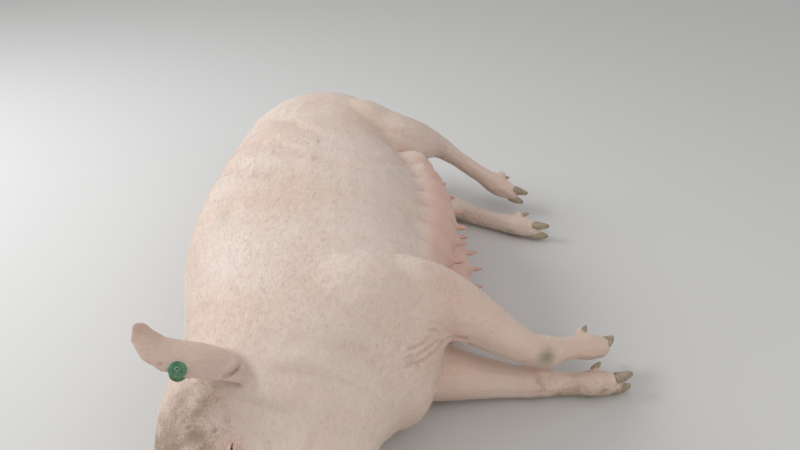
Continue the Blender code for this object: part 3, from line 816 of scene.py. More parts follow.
    def open_mouth(self, hide: Hide) -> None:
        """Press the line between the lips into both sides."""
        height = np.zeros(len(hide.points))
        for side in Side:
            lips = Fold(self.mouth_line(side), 0.0017, self.mouth_depth, 0.0016, 0.0022)
            height += lips.press(hide)
        hide.raise_by(height)


@dataclass(frozen=True)
class EarForm:
    """One ear: a leaf with a rounded tip and ribs on its back; FaceFolds presses the folded notch at its root.

    Attributes:
        part: The ear's solid.
        rib: Height of the ribs along the ear.
        tip_length: Half the length of the tip that narrows.
    """

    part: Part
    rib: float = 0.0007
    tip_length: float = 0.022

    def down_the_ear(self) -> np.ndarray:
        """The direction from the ear's tip to its root."""
        box = Box.of(self.part.value)
        tip = box.at(0.0, 0.5, 1.0 if self.part is Part.LEFT_EAR else 0.5)
        root = box.at(1.0, 0.5, 0.1 if self.part is Part.LEFT_EAR else 0.5)
        return unit(root - tip)

    def places(self, hide: Hide) -> tuple[np.ndarray, np.ndarray]:
        """How far each point is from the ear's tip, and its place across the ear.

        Args:
            hide: The skin.

        Returns:
            Distances along the ear from the tip, and signed distances across it.
        """
        tip = Box.of(self.part.value).at(0.0, 0.5, 1.0 if self.part is Part.LEFT_EAR else 0.5)
        along = self.down_the_ear()
        offset = hide.points - tip
        down = offset @ along
        side = unit(np.cross(along, UP))
        return down, offset @ side

    def shape(self, hide: Hide, zones: Zones) -> None:
        """Narrow the tip and raise the ribs on the ear's back.

        Args:
            hide: The skin.
            zones: Its masks.
        """
        down, across = self.places(hide)
        ear = zones.of((self.part,), 4)
        tip = (ear > 0.5) & (down < self.tip_length * 2.0)
        if tip.any():
            middle = 0.5 * (across[tip].max() + across[tip].min())
            narrow = (1.0 - smoothstep(down, -0.004, self.tip_length * 2.0)) * 0.40 * ear
            axis = unit(np.cross(self.down_the_ear(), UP))
            hide.points -= ((across - middle) * narrow)[:, None] * axis
            hide.relax(narrow, 10)
            down, across = self.places(hide)
        reach = smoothstep(down, 0.01, 0.05) * (1.0 - smoothstep(down, 0.12, 0.20))
        bend = across + 0.010 * np.sin(down * 30.0)
        ribs = bell(np.abs(bend) - 0.009, 0.0035) + bell(bend, 0.0030) + bell(np.abs(bend) - 0.021, 0.0030)
        hide.raise_by(self.rib * ear * reach * ribs)


@dataclass(frozen=True)
class Teats:
    """The teats, which keep their solids' blunt form while the udder round them is smoothed.

    Attributes:
        apart: Least distance between two of them.
        least_height: How far the rough mesh stands out where there is one.
        reach: Radius of the skin that belongs to a teat.
        fine_rounds: Smoothing rounds on the refined mesh.
    """

    apart: float = 0.035
    least_height: float = 0.0030
    reach: float = 0.021
    fine_rounds: int = 14

    def find(self, hide: Hide, zones: Zones) -> list[np.ndarray]:
        """The middles of the teats.

        Args:
            hide: The skin, just cast.
            zones: Its masks.

        Returns:
            The middle of each teat.
        """
        flat = hide.blur(hide.points, 12)
        out = unit(hide.blur(hide.normals, 12))
        height = ((hide.points - flat) * out).sum(axis=1) * (zones.of((Part.UDDER,)) > 0.5)
        found: list[np.ndarray] = []
        for index in np.argsort(-height)[:4000]:
            if height[index] < self.least_height:
                break
            middle = hide.points[index] - out[index] * 0.007
            if all(np.linalg.norm(middle - other) > self.apart for other in found):
                found.append(middle)
        return found

    def near(self, hide: Hide, middles: Sequence[np.ndarray]) -> np.ndarray:
        """One on the teats, falling to zero on the udder round them.

        Args:
            hide: The skin.
            middles: The middle of each teat.

        Returns:
            One share for each point.
        """
        share = np.zeros(len(hide.points))
        for middle in middles:
            away = np.linalg.norm(hide.points - middle, axis=1)
            share = np.maximum(share, 1.0 - smoothstep(away, self.reach * 0.6, self.reach))
        return share

    def carry(self, hide: Hide, middles: Sequence[np.ndarray], settling: np.ndarray) -> list[np.ndarray]:
        """Let each teat sink whole with the udder round it.

        Args:
            hide: The skin before it settles.
            middles: The middle of each teat.
            settling: How far each point is about to move, changed here on the teats.

        Returns:
            The middle of each teat once it has sunk.
        """
        carried = []
        for middle in middles:
            away = np.linalg.norm(hide.points - middle, axis=1)
            drift = settling[(away > self.reach * 0.8) & (away < self.reach * 1.4)].mean(axis=0)
            share = (1.0 - smoothstep(away, self.reach * 0.6, self.reach * 1.2))[:, None]
            settling += (drift - settling) * share
            carried.append(middle + drift)
        return carried

    def refine(self, hide: Hide, middles: Sequence[np.ndarray]) -> None:
        """Make the mesh fine on the teats and smooth it there.

        Args:
            hide: The skin.
            middles: The middle of each teat.
        """
        for scale in (1.1, 0.9):
            chosen = np.zeros(len(hide.points), bool)
            for middle in middles:
                chosen[hide.near(middle, self.reach * scale)] = True
            hide.refine(chosen)
        hide.relax(self.near(hide, middles), self.fine_rounds)


def crease(
    box: Box, shares: Sequence[Place], width: float, depth: float, roll: float = 0.0, other_roll: float = 0.0
) -> Fold:
    """A fold through places given as shares of a box."""
    return Fold(tuple(tuple(box.at(*place)) for place in shares), width, depth, roll, other_roll)


@dataclass(frozen=True)
class FaceFolds:
    """The head's creases, and the bristly whorls on its brow, each placed from the eyes and the left ear."""

    def place(self, side: Side, back: float, across: float) -> Place:
        """A place on one side of the face.

        Args:
            side: Which side.
            back: Distance behind the eye.
            across: Distance from the eye towards the throat.

        Returns:
            The place, near enough to the skin for a crease to snap to it.
        """
        eye = Box.of("eye_" + side.word).at(0.5, 0.5, 0.5)
        return tuple(eye + np.array([across, back, side.value * (0.012 - 0.3 * abs(across))]))

    def folds(self) -> list[Fold]:
        """The creases of both sides."""
        made = []
        for side in Side:
            lines = (
                (((0.000, -0.034), (-0.024, -0.040), (-0.050, -0.030)), 0.0042, 0.0024, 0.0022),
                (((0.016, -0.052), (-0.018, -0.064), (-0.056, -0.054)), 0.0050, 0.0022, 0.0018),
                (((0.030, 0.012), (0.000, 0.034), (-0.045, 0.040), (-0.085, 0.030)), 0.0060, 0.0026, 0.0018),
                (((0.046, 0.020), (0.020, 0.060), (-0.040, 0.078)), 0.0075, 0.0028, 0.0020),
                (((-0.100, 0.040), (-0.060, 0.100), (0.010, 0.130), (0.080, 0.120)), 0.0110, 0.0042, 0.0032),
                (((-0.135, 0.078), (-0.110, 0.110), (-0.070, 0.134)), 0.0060, 0.0030, 0.0024),
            )
            for places, width, depth, roll in lines:
                points = tuple(self.place(side, back, across) for back, across in places)
                made.append(Fold(points, width, depth * 0.75, roll * 0.42, roll * 0.30))
        return made

    def ear_notch(self) -> Fold:
        """The deep fold where the left ear leaves the head."""
        ear = Box.of(Part.LEFT_EAR.value)
        places = ((0.800, 0.17, 0.33), (0.855, 0.32, 0.30), (0.905, 0.47, 0.30), (0.93, 0.60, 0.34))
        return crease(ear, places, 0.0042, 0.0085, 0.0030, 0.0035)

    def cheek(self) -> Fold:
        """The long soft crease from below the left ear to the cheek."""
        ear = Box.of(Part.LEFT_EAR.value)
        near_root = ((0.80, 0.26, -0.06), (0.90, 0.216, -0.10), (1.02, 0.155, -0.17))
        below = ((1.17, 0.09, -0.25), (1.36, 0.03, -0.35))
        return crease(ear, near_root + below, 0.0105, 0.0062, 0.0022, 0.0026)

    def whorls(self) -> list[np.ndarray]:
        """The two whorls on the left brow, dimpled and darkened: dirt and painted shade."""
        eye = Box.of("eye_left").at(0.5, 0.5, 0.5)
        return [eye + np.array([-0.080, 0.064, -0.008]), eye + np.array([-0.036, 0.040, 0.010])]

    def shape(self, hide: Hide) -> np.ndarray:
        """Press the creases and whorls into the skin.

        Args:
            hide: The skin.

        Returns:
            How much painted shade each point takes in a crease or whorl, from zero to one; in the whorls it
            stands for dirt as well.
        """
        height = np.zeros(len(hide.points))
        for fold in (*self.folds(), self.cheek()):
            height += fold.press(hide)
        notch = self.ear_notch().press(hide)
        # painted shade in the ear's notch
        shade = np.clip(-notch / 0.007, 0.0, 1.0)
        for whorl in self.whorls():
            away = np.linalg.norm(hide.points - whorl, axis=1)
            nearest = away.min()
            ring = np.sqrt(np.maximum(away**2 - nearest**2, 0.0))
            height -= 0.0024 * bell(ring, 0.0045)
            height += 0.0012 * bell(ring - 0.0085, 0.0030)
            # the whorl's dark ring: dirt and painted shade in its dimple
            shade = np.maximum(shade, 0.62 * bell(ring - 0.0015, 0.0048))
        hide.raise_by(height + notch)
        return shade


@dataclass
class BodyFolds:
    """The creases and soft rolls of the body, each placed from the solids next to it."""

    def folds(self) -> list[Fold]:
        """Every crease of the body but the wide rolls of the back."""
        return self.elbow() + self.neck() + self.flank() + self.rear() + self.joints()

    def elbow(self) -> list[Fold]:
        """Nested creases where the upper foreleg meets the chest."""
        leg = Box.of(Part.LEFT_FORE_UPPER.value)
        root = np.array([leg.low[0], leg.low[1], leg.at(0, 0, 0.42)[2]])
        made = []
        for width, depth, roll, *places in (
            (0.0050, 0.0095, 0.0030, (-0.129, -0.135, 0.057), (-0.098, -0.109, 0.038),
             (-0.065, -0.070, 0.030), (-0.044, -0.011, 0.020)),
            (0.0038, 0.0065, 0.0016, (-0.134, -0.130, 0.073), (-0.105, -0.108, 0.055),
             (-0.074, -0.074, 0.049), (-0.049, -0.021, 0.040)),
            (0.0036, 0.0052, 0.0014, (-0.140, -0.121, 0.094), (-0.113, -0.108, 0.073),
             (-0.081, -0.071, 0.065), (-0.058, -0.033, 0.065)),
            (0.0028, 0.0040, 0.0010, (-0.066, -0.052, 0.082), (-0.052, -0.030, 0.070), (-0.042, -0.012, 0.050)),
            (0.0060, 0.0090, 0.0030, (0.022, 0.012, 0.020), (-0.005, -0.010, 0.010), (-0.034, -0.016, 0.024)),
        ):
            points = tuple(tuple(root + np.array(place)) for place in places)
            made.append(Fold(points, width, depth, roll, roll * 0.8))
        return made

    def neck(self) -> list[Fold]:
        """Shallow rolls of the neck behind the ear and cheek."""
        neck = Box.of(Part.NECK.value)
        nape = ((0.031, 1.283, 0.656), (0.071, 1.260, 0.764), (0.155, 1.104, 0.869), (0.243, 0.954, 0.928))
        behind_cheek = ((0.42, -0.28, 0.88), (0.58, -0.22, 0.86), (0.76, -0.14, 0.76), (0.90, -0.04, 0.58))
        before_shoulder = ((0.60, 0.22, 0.93), (0.78, 0.30, 0.84), (0.92, 0.36, 0.68))
        return [
            crease(neck, nape, 0.014, 0.0055, 0.0030, 0.0030),
            crease(neck, behind_cheek, 0.013, 0.0045, 0.003),
            crease(neck, before_shoulder, 0.012, 0.0030, 0.002),
        ]

    def back(self) -> list[Fold]:
        """Wide soft rolls that run from the ridge of the back slantwise over the ribs."""
        body = Box(*(np.array(corner) for corner in CAD_BOUNDS))
        made = []
        for width, depth, roll, *places in (
            (0.022, 0.0058, 0.0030, (0.123, 0.801, 0.820), (0.183, 0.794, 0.903), (0.239, 0.791, 0.930),
             (0.302, 0.792, 0.928)),
            (0.021, 0.0074, 0.0040, (0.083, 0.797, 0.719), (0.126, 0.772, 0.845), (0.215, 0.706, 0.950),
             (0.288, 0.653, 0.984), (0.349, 0.615, 0.982)),
            (0.020, 0.0080, 0.0044, (0.047, 0.707, 0.696), (0.091, 0.682, 0.820), (0.173, 0.619, 0.946),
             (0.252, 0.580, 0.991), (0.309, 0.562, 0.993), (0.379, 0.549, 0.975)),
            (0.020, 0.0072, 0.0038, (0.030, 0.646, 0.652), (0.063, 0.617, 0.777), (0.138, 0.558, 0.919),
             (0.204, 0.527, 0.971), (0.277, 0.504, 0.986)),
            (0.018, 0.0058, 0.0030, (0.016, 0.578, 0.584), (0.039, 0.544, 0.708), (0.108, 0.499, 0.869),
             (0.172, 0.477, 0.935), (0.234, 0.461, 0.955)),
        ):
            made.append(crease(body, places, width, depth, roll, roll))
        return made

    def flank(self) -> list[Fold]:
        """The fold of skin between the belly and the left thigh."""
        thigh = Box.of(Part.LEFT_HIND_UPPER.value)
        root = np.array([thigh.low[0], thigh.low[1], thigh.high[2]])
        trunk = Box.of(Part.TRUNK.value)
        before = ((0.690, 0.710, 0.935), (0.725, 0.730, 0.905), (0.769, 0.755, 0.873), (0.822, 0.860, 0.764))
        along = (
            (0.010, 0.000, -0.045),
            (-0.030, -0.030, 0.010),
            (-0.080, -0.045, 0.050),
            (-0.140, -0.040, 0.075),
        )
        return [
            crease(trunk, before, 0.011, 0.0052, 0.0025, 0.0025),
            Fold(tuple(tuple(root + np.array(place)) for place in along), 0.014, 0.0080, 0.004, 0.003),
        ]

    def rear(self) -> list[Fold]:
        """The crease of the vulva and the one beneath the root of the tail."""
        rump = Box.of(Part.RUMP.value)
        upright = ((0.395, 1.01, 0.422), (0.440, 1.02, 0.420), (0.490, 0.99, 0.418))
        level = ((0.365, 0.99, 0.47), (0.352, 1.00, 0.42), (0.365, 0.99, 0.37))
        return [
            crease(rump, upright, 0.0026, 0.0060, 0.0020, 0.0020),
            crease(rump, level, 0.0040, 0.0050, 0.0018),
        ]

    def joints(self) -> list[Fold]:
        """Short wrinkles across the bend of each knee and hock."""
        made = []
        for leg in Leg:
            lower = Box.of(leg.value + "_lower")
            for share in (0.10, 0.17, 0.25):
                place = lower.at(share, 0.5, 0.5)
                reach = lower.size[1] * 0.5
                made.append(
                    Fold(
                        (
                            tuple(place + np.array([0.0, -reach, 0.0])),
                            tuple(place + np.array([0.006, -reach * 0.5, lower.size[2] * 0.5])),
                            tuple(place + np.array([0.010, 0.0, lower.size[2] * 0.6])),
                        ),
                        0.0030,
                        0.0016,
                        roll=0.0008,
                    )
                )
        return made

    def shape(self, hide: Hide) -> None:
        """Press every crease into the skin, the wide rolls first."""
        rolls = np.zeros(len(hide.points))
        for fold in self.back():
            rolls += fold.press(hide)
        hide.raise_by(rolls)
        hide.relax(smoothstep(np.abs(rolls), 0.0002, 0.0010), 5)
        height = np.zeros(len(hide.points))
        for fold in self.folds():
            height += fold.press(hide)
        hide.raise_by(height)


class Graph:
    """A node tree, with short calls for the nodes that the finishes use."""

    def __init__(self, tree: bpy.types.NodeTree) -> None:
        """Work on this node tree."""
        self.tree = tree

    def node(self, kind: str, inputs: Optional[dict] = None, **settings: object) -> bpy.types.Node:
        """Add a node.

        Args:
            kind: Its type.
            inputs: Values, or sockets to link, by input name or number.
            settings: Properties of the node itself.

        Returns:
            The node.
        """
        made = self.tree.nodes.new(kind)
        for name, value in settings.items():
            setattr(made, name, value)
        for key, value in (inputs or {}).items():
            if isinstance(value, bpy.types.NodeSocket):
                self.tree.links.new(value, made.inputs[key])
            else:
                made.inputs[key].default_value = value
        return made

    def where(self) -> bpy.types.NodeSocket:
        """The place on the object."""
        return self.node("ShaderNodeTexCoord").outputs["Object"]

    def noise(
        self, place: bpy.types.NodeSocket, scale: float, stretch: Place = (1.0, 1.0, 1.0), detail: float = 3.0
    ) -> bpy.types.NodeSocket:
        """Cloudy noise from zero to one, drawn out along the axes where stretch is under one."""
        mapping = self.node("ShaderNodeMapping", {"Vector": place, "Scale": stretch})
        given = {"Vector": mapping.outputs[0], "Scale": scale, "Detail": detail}
        found = self.node("ShaderNodeTexNoise", given)
        return found.outputs[0]

    def maths(
        self,
        operation: str,
        first: bpy.types.NodeSocket | float,
        second: bpy.types.NodeSocket | float = 0.0,
        third: bpy.types.NodeSocket | float = 0.0,
        clamp: bool = False,
    ) -> bpy.types.NodeSocket:
        """The result of one arithmetic step."""
        inputs = {0: first, 1: second, 2: third}
        return self.node("ShaderNodeMath", inputs, operation=operation, use_clamp=clamp).outputs[0]

    def spread(self, value: bpy.types.NodeSocket, low: float, high: float) -> bpy.types.NodeSocket:
        """Zero below low, one above high, smooth between."""
        inputs = {"Value": value, "From Min": low, "From Max": high}
        return self.node("ShaderNodeMapRange", inputs, interpolation_type="SMOOTHSTEP").outputs[0]

    def blend(
        self,
        share: bpy.types.NodeSocket | float,
        first: bpy.types.NodeSocket | tuple,
        second: bpy.types.NodeSocket | tuple,
    ) -> bpy.types.NodeSocket:
        """A mix of two colours."""
        made = self.node("ShaderNodeMix", {0: share, 6: first, 7: second}, data_type="RGBA")
        return made.outputs[2]


def rgba(colour: Colour) -> tuple[float, float, float, float]:
    """The colour with full alpha."""
    return (*colour, 1.0)


def new_material(name: str) -> tuple[bpy.types.Material, Graph, bpy.types.Node]:
    """A fresh material, its graph, and its Principled shader."""
    material = bpy.data.materials.new(name)
    material.use_nodes = True
    graph = Graph(material.node_tree)
    return material, graph, material.node_tree.nodes["Principled BSDF"]


def build_group(
    name: str, inputs: Sequence[tuple[str, str]], outputs: Sequence[tuple[str, str]]
) -> tuple[bpy.types.NodeTree, Graph, bpy.types.Node, bpy.types.Node]:
    """An empty shader node group.

    Args:
        name: The group's name.
        inputs: Name and kind of each input.
        outputs: Name and kind of each output.

    Returns:
        The group, its graph, its input node and its output node.
    """
    tree = bpy.data.node_groups.new(name, "ShaderNodeTree")
    for label, kind in inputs:
        tree.interface.new_socket(name=label, in_out="INPUT", socket_type="NodeSocket" + kind)
    for label, kind in outputs:
        tree.interface.new_socket(name=label, in_out="OUTPUT", socket_type="NodeSocket" + kind)
    graph = Graph(tree)
    return tree, graph, graph.node("NodeGroupInput"), graph.node("NodeGroupOutput")


class Effects:
    """The shader groups that several finishes share, each built once."""

    def __init__(self) -> None:
        """Build both groups."""
        self.markings = self.make_markings()
        self.grime = self.make_grime()

    def make_markings(self) -> bpy.types.NodeTree:
        """Pale skin that turns rosy where a mask says so, in soft clouds and fine mottles."""
        tree, graph, given, made = build_group(
            "skin_markings",
            (("Pale", "Color"), ("Warm", "Color"), ("Rosy", "Color"), ("Rosiness", "Float")),
            (("Color", "Color"), ("Mottle", "Float")),
        )
        place = graph.where()
        clouds = graph.noise(place, 3.2, detail=4.0)
        patches = graph.noise(place, 14.0, detail=4.0)
        mottle = graph.noise(place, 95.0, detail=3.0)
        cream = graph.blend(graph.spread(clouds, 0.36, 0.68), given.outputs["Pale"], given.outputs["Warm"])
        push = graph.maths("MULTIPLY_ADD", patches, 0.36, -0.18)
        rosiness = graph.maths("ADD", given.outputs["Rosiness"], push)
        centred = graph.maths("SUBTRACT", rosiness, 0.15)
        rosiness = graph.maths("MULTIPLY_ADD", mottle, 0.30, centred, clamp=True)
        colour = graph.blend(rosiness, cream, given.outputs["Rosy"])
        graph.tree.links.new(colour, made.inputs["Color"])
        graph.tree.links.new(mottle, made.inputs["Mottle"])
        return tree

    def make_grime(self) -> bpy.types.NodeTree:
        """Dry dirt that gathers in blotches and specks where a mask says so."""
        tree, graph, given, made = build_group(
            "dry_grime",
            (("Base", "Color"), ("Dirt", "Color"), ("Amount", "Float")),
            (("Color", "Color"), ("Mask", "Float")),
        )
        place = graph.where()
        blotch = graph.noise(place, 26.0, detail=5.0)
        speck = graph.noise(place, 210.0, detail=2.0)
        level = graph.maths("MULTIPLY_ADD", blotch, 0.75, graph.maths("MULTIPLY", speck, 0.35))
        level = graph.maths("ADD", level, graph.maths("SUBTRACT", given.outputs["Amount"], 1.02))
        mask = graph.spread(level, 0.0, 0.42)
        colour = graph.blend(mask, given.outputs["Base"], given.outputs["Dirt"])
        graph.tree.links.new(colour, made.inputs["Color"])
        graph.tree.links.new(mask, made.inputs["Mask"])
        return tree


@dataclass(frozen=True)
class SkinFinish:
    """Bare pink and cream skin under thin bristles, with dry dirt on the feet, knees and face, and painted
    shade in its creases, hollows and whorls, round the eyes and on the ears and brow.
    """

    pale: Colour = (0.740, 0.630, 0.555)
    warm: Colour = (0.705, 0.555, 0.455)
    rosy: Colour = (0.630, 0.350, 0.285)
    dirt: Colour = (0.300, 0.210, 0.130)
    # colour of the painted shade in creases, hollows, whorls, round the eyes and on the ears and brow
    shade: Colour = (0.350, 0.225, 0.185)
    moss: Colour = (0.150, 0.165, 0.090)
    bump: float = 0.0011

    def coloured(self, graph: Graph, effects: Effects) -> tuple[bpy.types.NodeSocket, bpy.types.Node]:
        """The skin's colour with markings, dirt, moss and painted shade.

        Args:
            graph: The material's graph.
            effects: The shared groups.

        Returns:
            The colour, and the node that splits the zone masks.
        """
        zones = graph.node("ShaderNodeAttribute", attribute_name="zones")
        masks = graph.node("ShaderNodeSeparateColor", {0: zones.outputs["Color"]})
        markings = graph.node(
            "ShaderNodeGroup",
            node_tree=effects.markings,
        )
        for name, colour in (("Pale", self.pale), ("Warm", self.warm), ("Rosy", self.rosy)):
            markings.inputs[name].default_value = rgba(colour)
        graph.tree.links.new(masks.outputs[0], markings.inputs["Rosiness"])
        grime = graph.node("ShaderNodeGroup", node_tree=effects.grime)
        grime.inputs["Dirt"].default_value = rgba(self.dirt)
        graph.tree.links.new(markings.outputs["Color"], grime.inputs["Base"])
        graph.tree.links.new(masks.outputs[1], grime.inputs["Amount"])
        # painted shade, laid on by the third mask
        shaded = graph.blend(masks.outputs[2], grime.outputs["Color"], rgba(self.shade))
        mossy = graph.blend(zones.outputs["Alpha"], shaded, rgba(self.moss))
        return mossy, masks

    def material(self, effects: Effects) -> bpy.types.Material:
        """The skin's material."""
        material, graph, shader = new_material("skin")
        colour, _ = self.coloured(graph, effects)
        place = graph.where()
        lie = graph.node("ShaderNodeAttribute", attribute_name="lie").outputs["Fac"]
        lengthwise = graph.noise(place, 520.0, (1.0, 0.07, 1.0), 2.0)
        crosswise = graph.noise(place, 520.0, (0.07, 1.0, 1.0), 2.0)
        hairs = graph.maths("ADD", graph.maths("MULTIPLY", lengthwise, graph.maths("SUBTRACT", 1.0, lie)),
                            graph.maths("MULTIPLY", crosswise, lie))
        pores = graph.noise(place, 900.0, detail=1.0)
        wrinkles = graph.noise(place, 150.0, (1.0, 0.45, 1.0), 3.0)
        height = graph.maths("MULTIPLY_ADD", hairs, 0.55, graph.maths("MULTIPLY", wrinkles, 0.5))
        height = graph.maths("MULTIPLY_ADD", pores, 0.18, height)
        streak = graph.spread(hairs, 0.40, 0.74)
        paler = graph.blend(graph.maths("MULTIPLY", streak, 0.16), colour, rgba((0.93, 0.83, 0.72)))
        graph.tree.links.new(paler, shader.inputs["Base Color"])
        rough = graph.maths("MULTIPLY_ADD", wrinkles, 0.22, 0.46)
        graph.tree.links.new(rough, shader.inputs["Roughness"])
        bump = graph.node("ShaderNodeBump", {"Height": height, "Strength": 0.55, "Distance": self.bump})
        graph.tree.links.new(bump.outputs[0], shader.inputs["Normal"])
        shader.inputs["Subsurface Weight"].default_value = 0.12
        shader.inputs["Subsurface Radius"].default_value = (0.9, 0.35, 0.2)
        shader.inputs["Subsurface Scale"].default_value = 0.012
        shader.inputs["Specular IOR Level"].default_value = 0.35
        return material


@dataclass(frozen=True)
class BristleFinish:
    """Straw-white bristles that take a little of the skin's colour under them."""

    tip: Colour = (0.960, 0.885, 0.770)

    def material(self, skin: SkinFinish, effects: Effects) -> bpy.types.Material:
        """The bristles' material, with the same markings, dirt and painted shade as the skin."""
        material, graph, shader = new_material("bristles")
        below, _ = skin.coloured(graph, effects)
        shade = graph.noise(graph.where(), 60.0, detail=2.0)
        share = graph.maths("MULTIPLY_ADD", shade, 0.40, 0.48)
        graph.tree.links.new(graph.blend(share, below, rgba(self.tip)), shader.inputs["Base Color"])
        shader.inputs["Roughness"].default_value = 0.5
        shader.inputs["Specular IOR Level"].default_value = 0.3
        return material


@dataclass(frozen=True)
class HornFinish:
    """Greyish yellow horn with growth rings and dirt."""

    light: Colour = (0.470, 0.370, 0.260)
    dark: Colour = (0.290, 0.220, 0.155)
    dirt: Colour = (0.100, 0.075, 0.050)

    def material(self, effects: Effects) -> bpy.types.Material:
        """The claws' material."""
        material, graph, shader = new_material("claw_horn")
        place = graph.where()
        rings = graph.noise(place, 260.0, (1.0, 0.5, 0.5), 3.0)
        patches = graph.noise(place, 45.0, detail=4.0)
        uneven = graph.maths("MULTIPLY", patches, 0.7)
        share = graph.spread(graph.maths("MULTIPLY_ADD", rings, 0.4, uneven), 0.40, 0.74)
        base = graph.blend(share, rgba(self.dark), rgba(self.light))
        grime = graph.node("ShaderNodeGroup", node_tree=effects.grime)
        grime.inputs["Dirt"].default_value = rgba(self.dirt)
        grime.inputs["Amount"].default_value = 0.40
        graph.tree.links.new(base, grime.inputs["Base"])
        graph.tree.links.new(grime.outputs["Color"], shader.inputs["Base Color"])
        rough = graph.maths("MULTIPLY_ADD", patches, 0.3, 0.32)
        graph.tree.links.new(rough, shader.inputs["Roughness"])
        bump = graph.node("ShaderNodeBump", {"Height": rings, "Strength": 0.4, "Distance": 0.0004})
        graph.tree.links.new(bump.outputs[0], shader.inputs["Normal"])
        return material


@dataclass(frozen=True)
class EyeFinish:
    """Wet dark eye: white, brown iris and black pupil."""

    white: Colour = (0.420, 0.300, 0.250)
    iris: Colour = (0.075, 0.040, 0.020)
    pupil: Colour = (0.004, 0.004, 0.005)

    def material(self, label: str, colour: Colour) -> bpy.types.Material:
        """The material of one zone of the eye."""
        material, graph, shader = new_material("eye_" + label)
        streaks = graph.noise(graph.where(), 700.0, detail=3.0)
        darker = tuple(0.55 * channel for channel in colour)
        tint = graph.blend(graph.spread(streaks, 0.35, 0.65), rgba(colour), rgba(darker))
        graph.tree.links.new(tint, shader.inputs["Base Color"])
        shader.inputs["Roughness"].default_value = 0.12
        shader.inputs["Coat Weight"].default_value = 1.0
        shader.inputs["Coat Roughness"].default_value = 0.03
        return material

    def materials(self) -> list[bpy.types.Material]:
        """The three zones' materials, outermost first."""
        labels = (("white", self.white), ("iris", self.iris), ("pupil", self.pupil))
        return [self.material(label, colour) for label, colour in labels]


@dataclass(frozen=True)
class TagFinish:
    """Green plastic, a little faded and dirty."""

    colour: Colour = (0.085, 0.240, 0.125)
    faded: Colour = (0.160, 0.330, 0.205)
    dirt: Colour = (0.120, 0.105, 0.060)

    def material(self, effects: Effects) -> bpy.types.Material:
        """The ear tag's material."""
        material, graph, shader = new_material("tag_plastic")
        place = graph.where()
        fade = graph.noise(place, 130.0, detail=4.0)
        base = graph.blend(graph.spread(fade, 0.35, 0.7), rgba(self.colour), rgba(self.faded))
        grime = graph.node("ShaderNodeGroup", node_tree=effects.grime)
        grime.inputs["Dirt"].default_value = rgba(self.dirt)
        grime.inputs["Amount"].default_value = 0.55
        graph.tree.links.new(base, grime.inputs["Base"])
        graph.tree.links.new(grime.outputs["Color"], shader.inputs["Base Color"])
        rough = graph.maths("MULTIPLY_ADD", fade, 0.3, 0.35)
        graph.tree.links.new(rough, shader.inputs["Roughness"])
        scratches = graph.noise(place, 1500.0, (1.0, 0.2, 1.0), 2.0)
        bump = graph.node("ShaderNodeBump", {"Height": scratches, "Strength": 0.2, "Distance": 0.0003})
        graph.tree.links.new(bump.outputs[0], shader.inputs["Normal"])
        return material


def main_axes(points: np.ndarray) -> np.ndarray:
    """The directions of a cloud of points as rows, the longest first."""
    centred = points - points.mean(axis=0)
    return np.linalg.svd(centred, full_matrices=False)[2]


@dataclass
class Eyeball:
    """The ball of one eye, with a raised cornea.

    Attributes:
        side: Which eye.
        cornea: How far the cornea stands out.
        iris_angle: Half angle of the iris, in degrees.
        pupil_angle: Half angle of the pupil, in degrees.
    """

    side: Side
    cornea: float = 0.0009
    iris_angle: float = 42.0
    pupil_angle: float = 19.0

    def build(self, lids: LidFrame, finish: list[bpy.types.Material]) -> bpy.types.Object:
        """Make the ball inside its lids.

        Args:
            lids: The directions at the eye.
            finish: Materials of the white, the iris and the pupil.

        Returns:
            The finished piece.
        """
        node = "eye_" + self.side.word
        radius = float(Box.of(node).size[2]) * 0.5
        bm = bmesh.new()
        bmesh.ops.create_uvsphere(bm, u_segments=48, v_segments=32, radius=radius)
        for vertex in bm.verts:
            angle = math.degrees(math.acos(max(-1.0, min(1.0, vertex.co.z / radius))))
            vertex.co *= 1.0 + self.cornea / radius * float(bell(np.array(angle), self.iris_angle))
        for face in bm.faces:
            angle = math.degrees(face.calc_center_median().angle(Vector((0.0, 0.0, 1.0))))
            face.material_index = int(angle < self.iris_angle) + int(angle < self.pupil_angle)
            face.smooth = True
        turn = Vector(lids.out).to_track_quat("Z", "Y").to_matrix().to_4x4()
        bmesh.ops.transform(bm, matrix=Matrix.Translation(Vector(lids.middle)) @ turn, verts=bm.verts)
        mesh = bpy.data.meshes.new(node)
        bm.to_mesh(mesh)
        bm.free()
        for material in finish:
            mesh.materials.append(material)
        ball = mesh_object("eyeball_" + self.side.word, mesh)
        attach(ball, "root")
        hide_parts(node)
        return ball


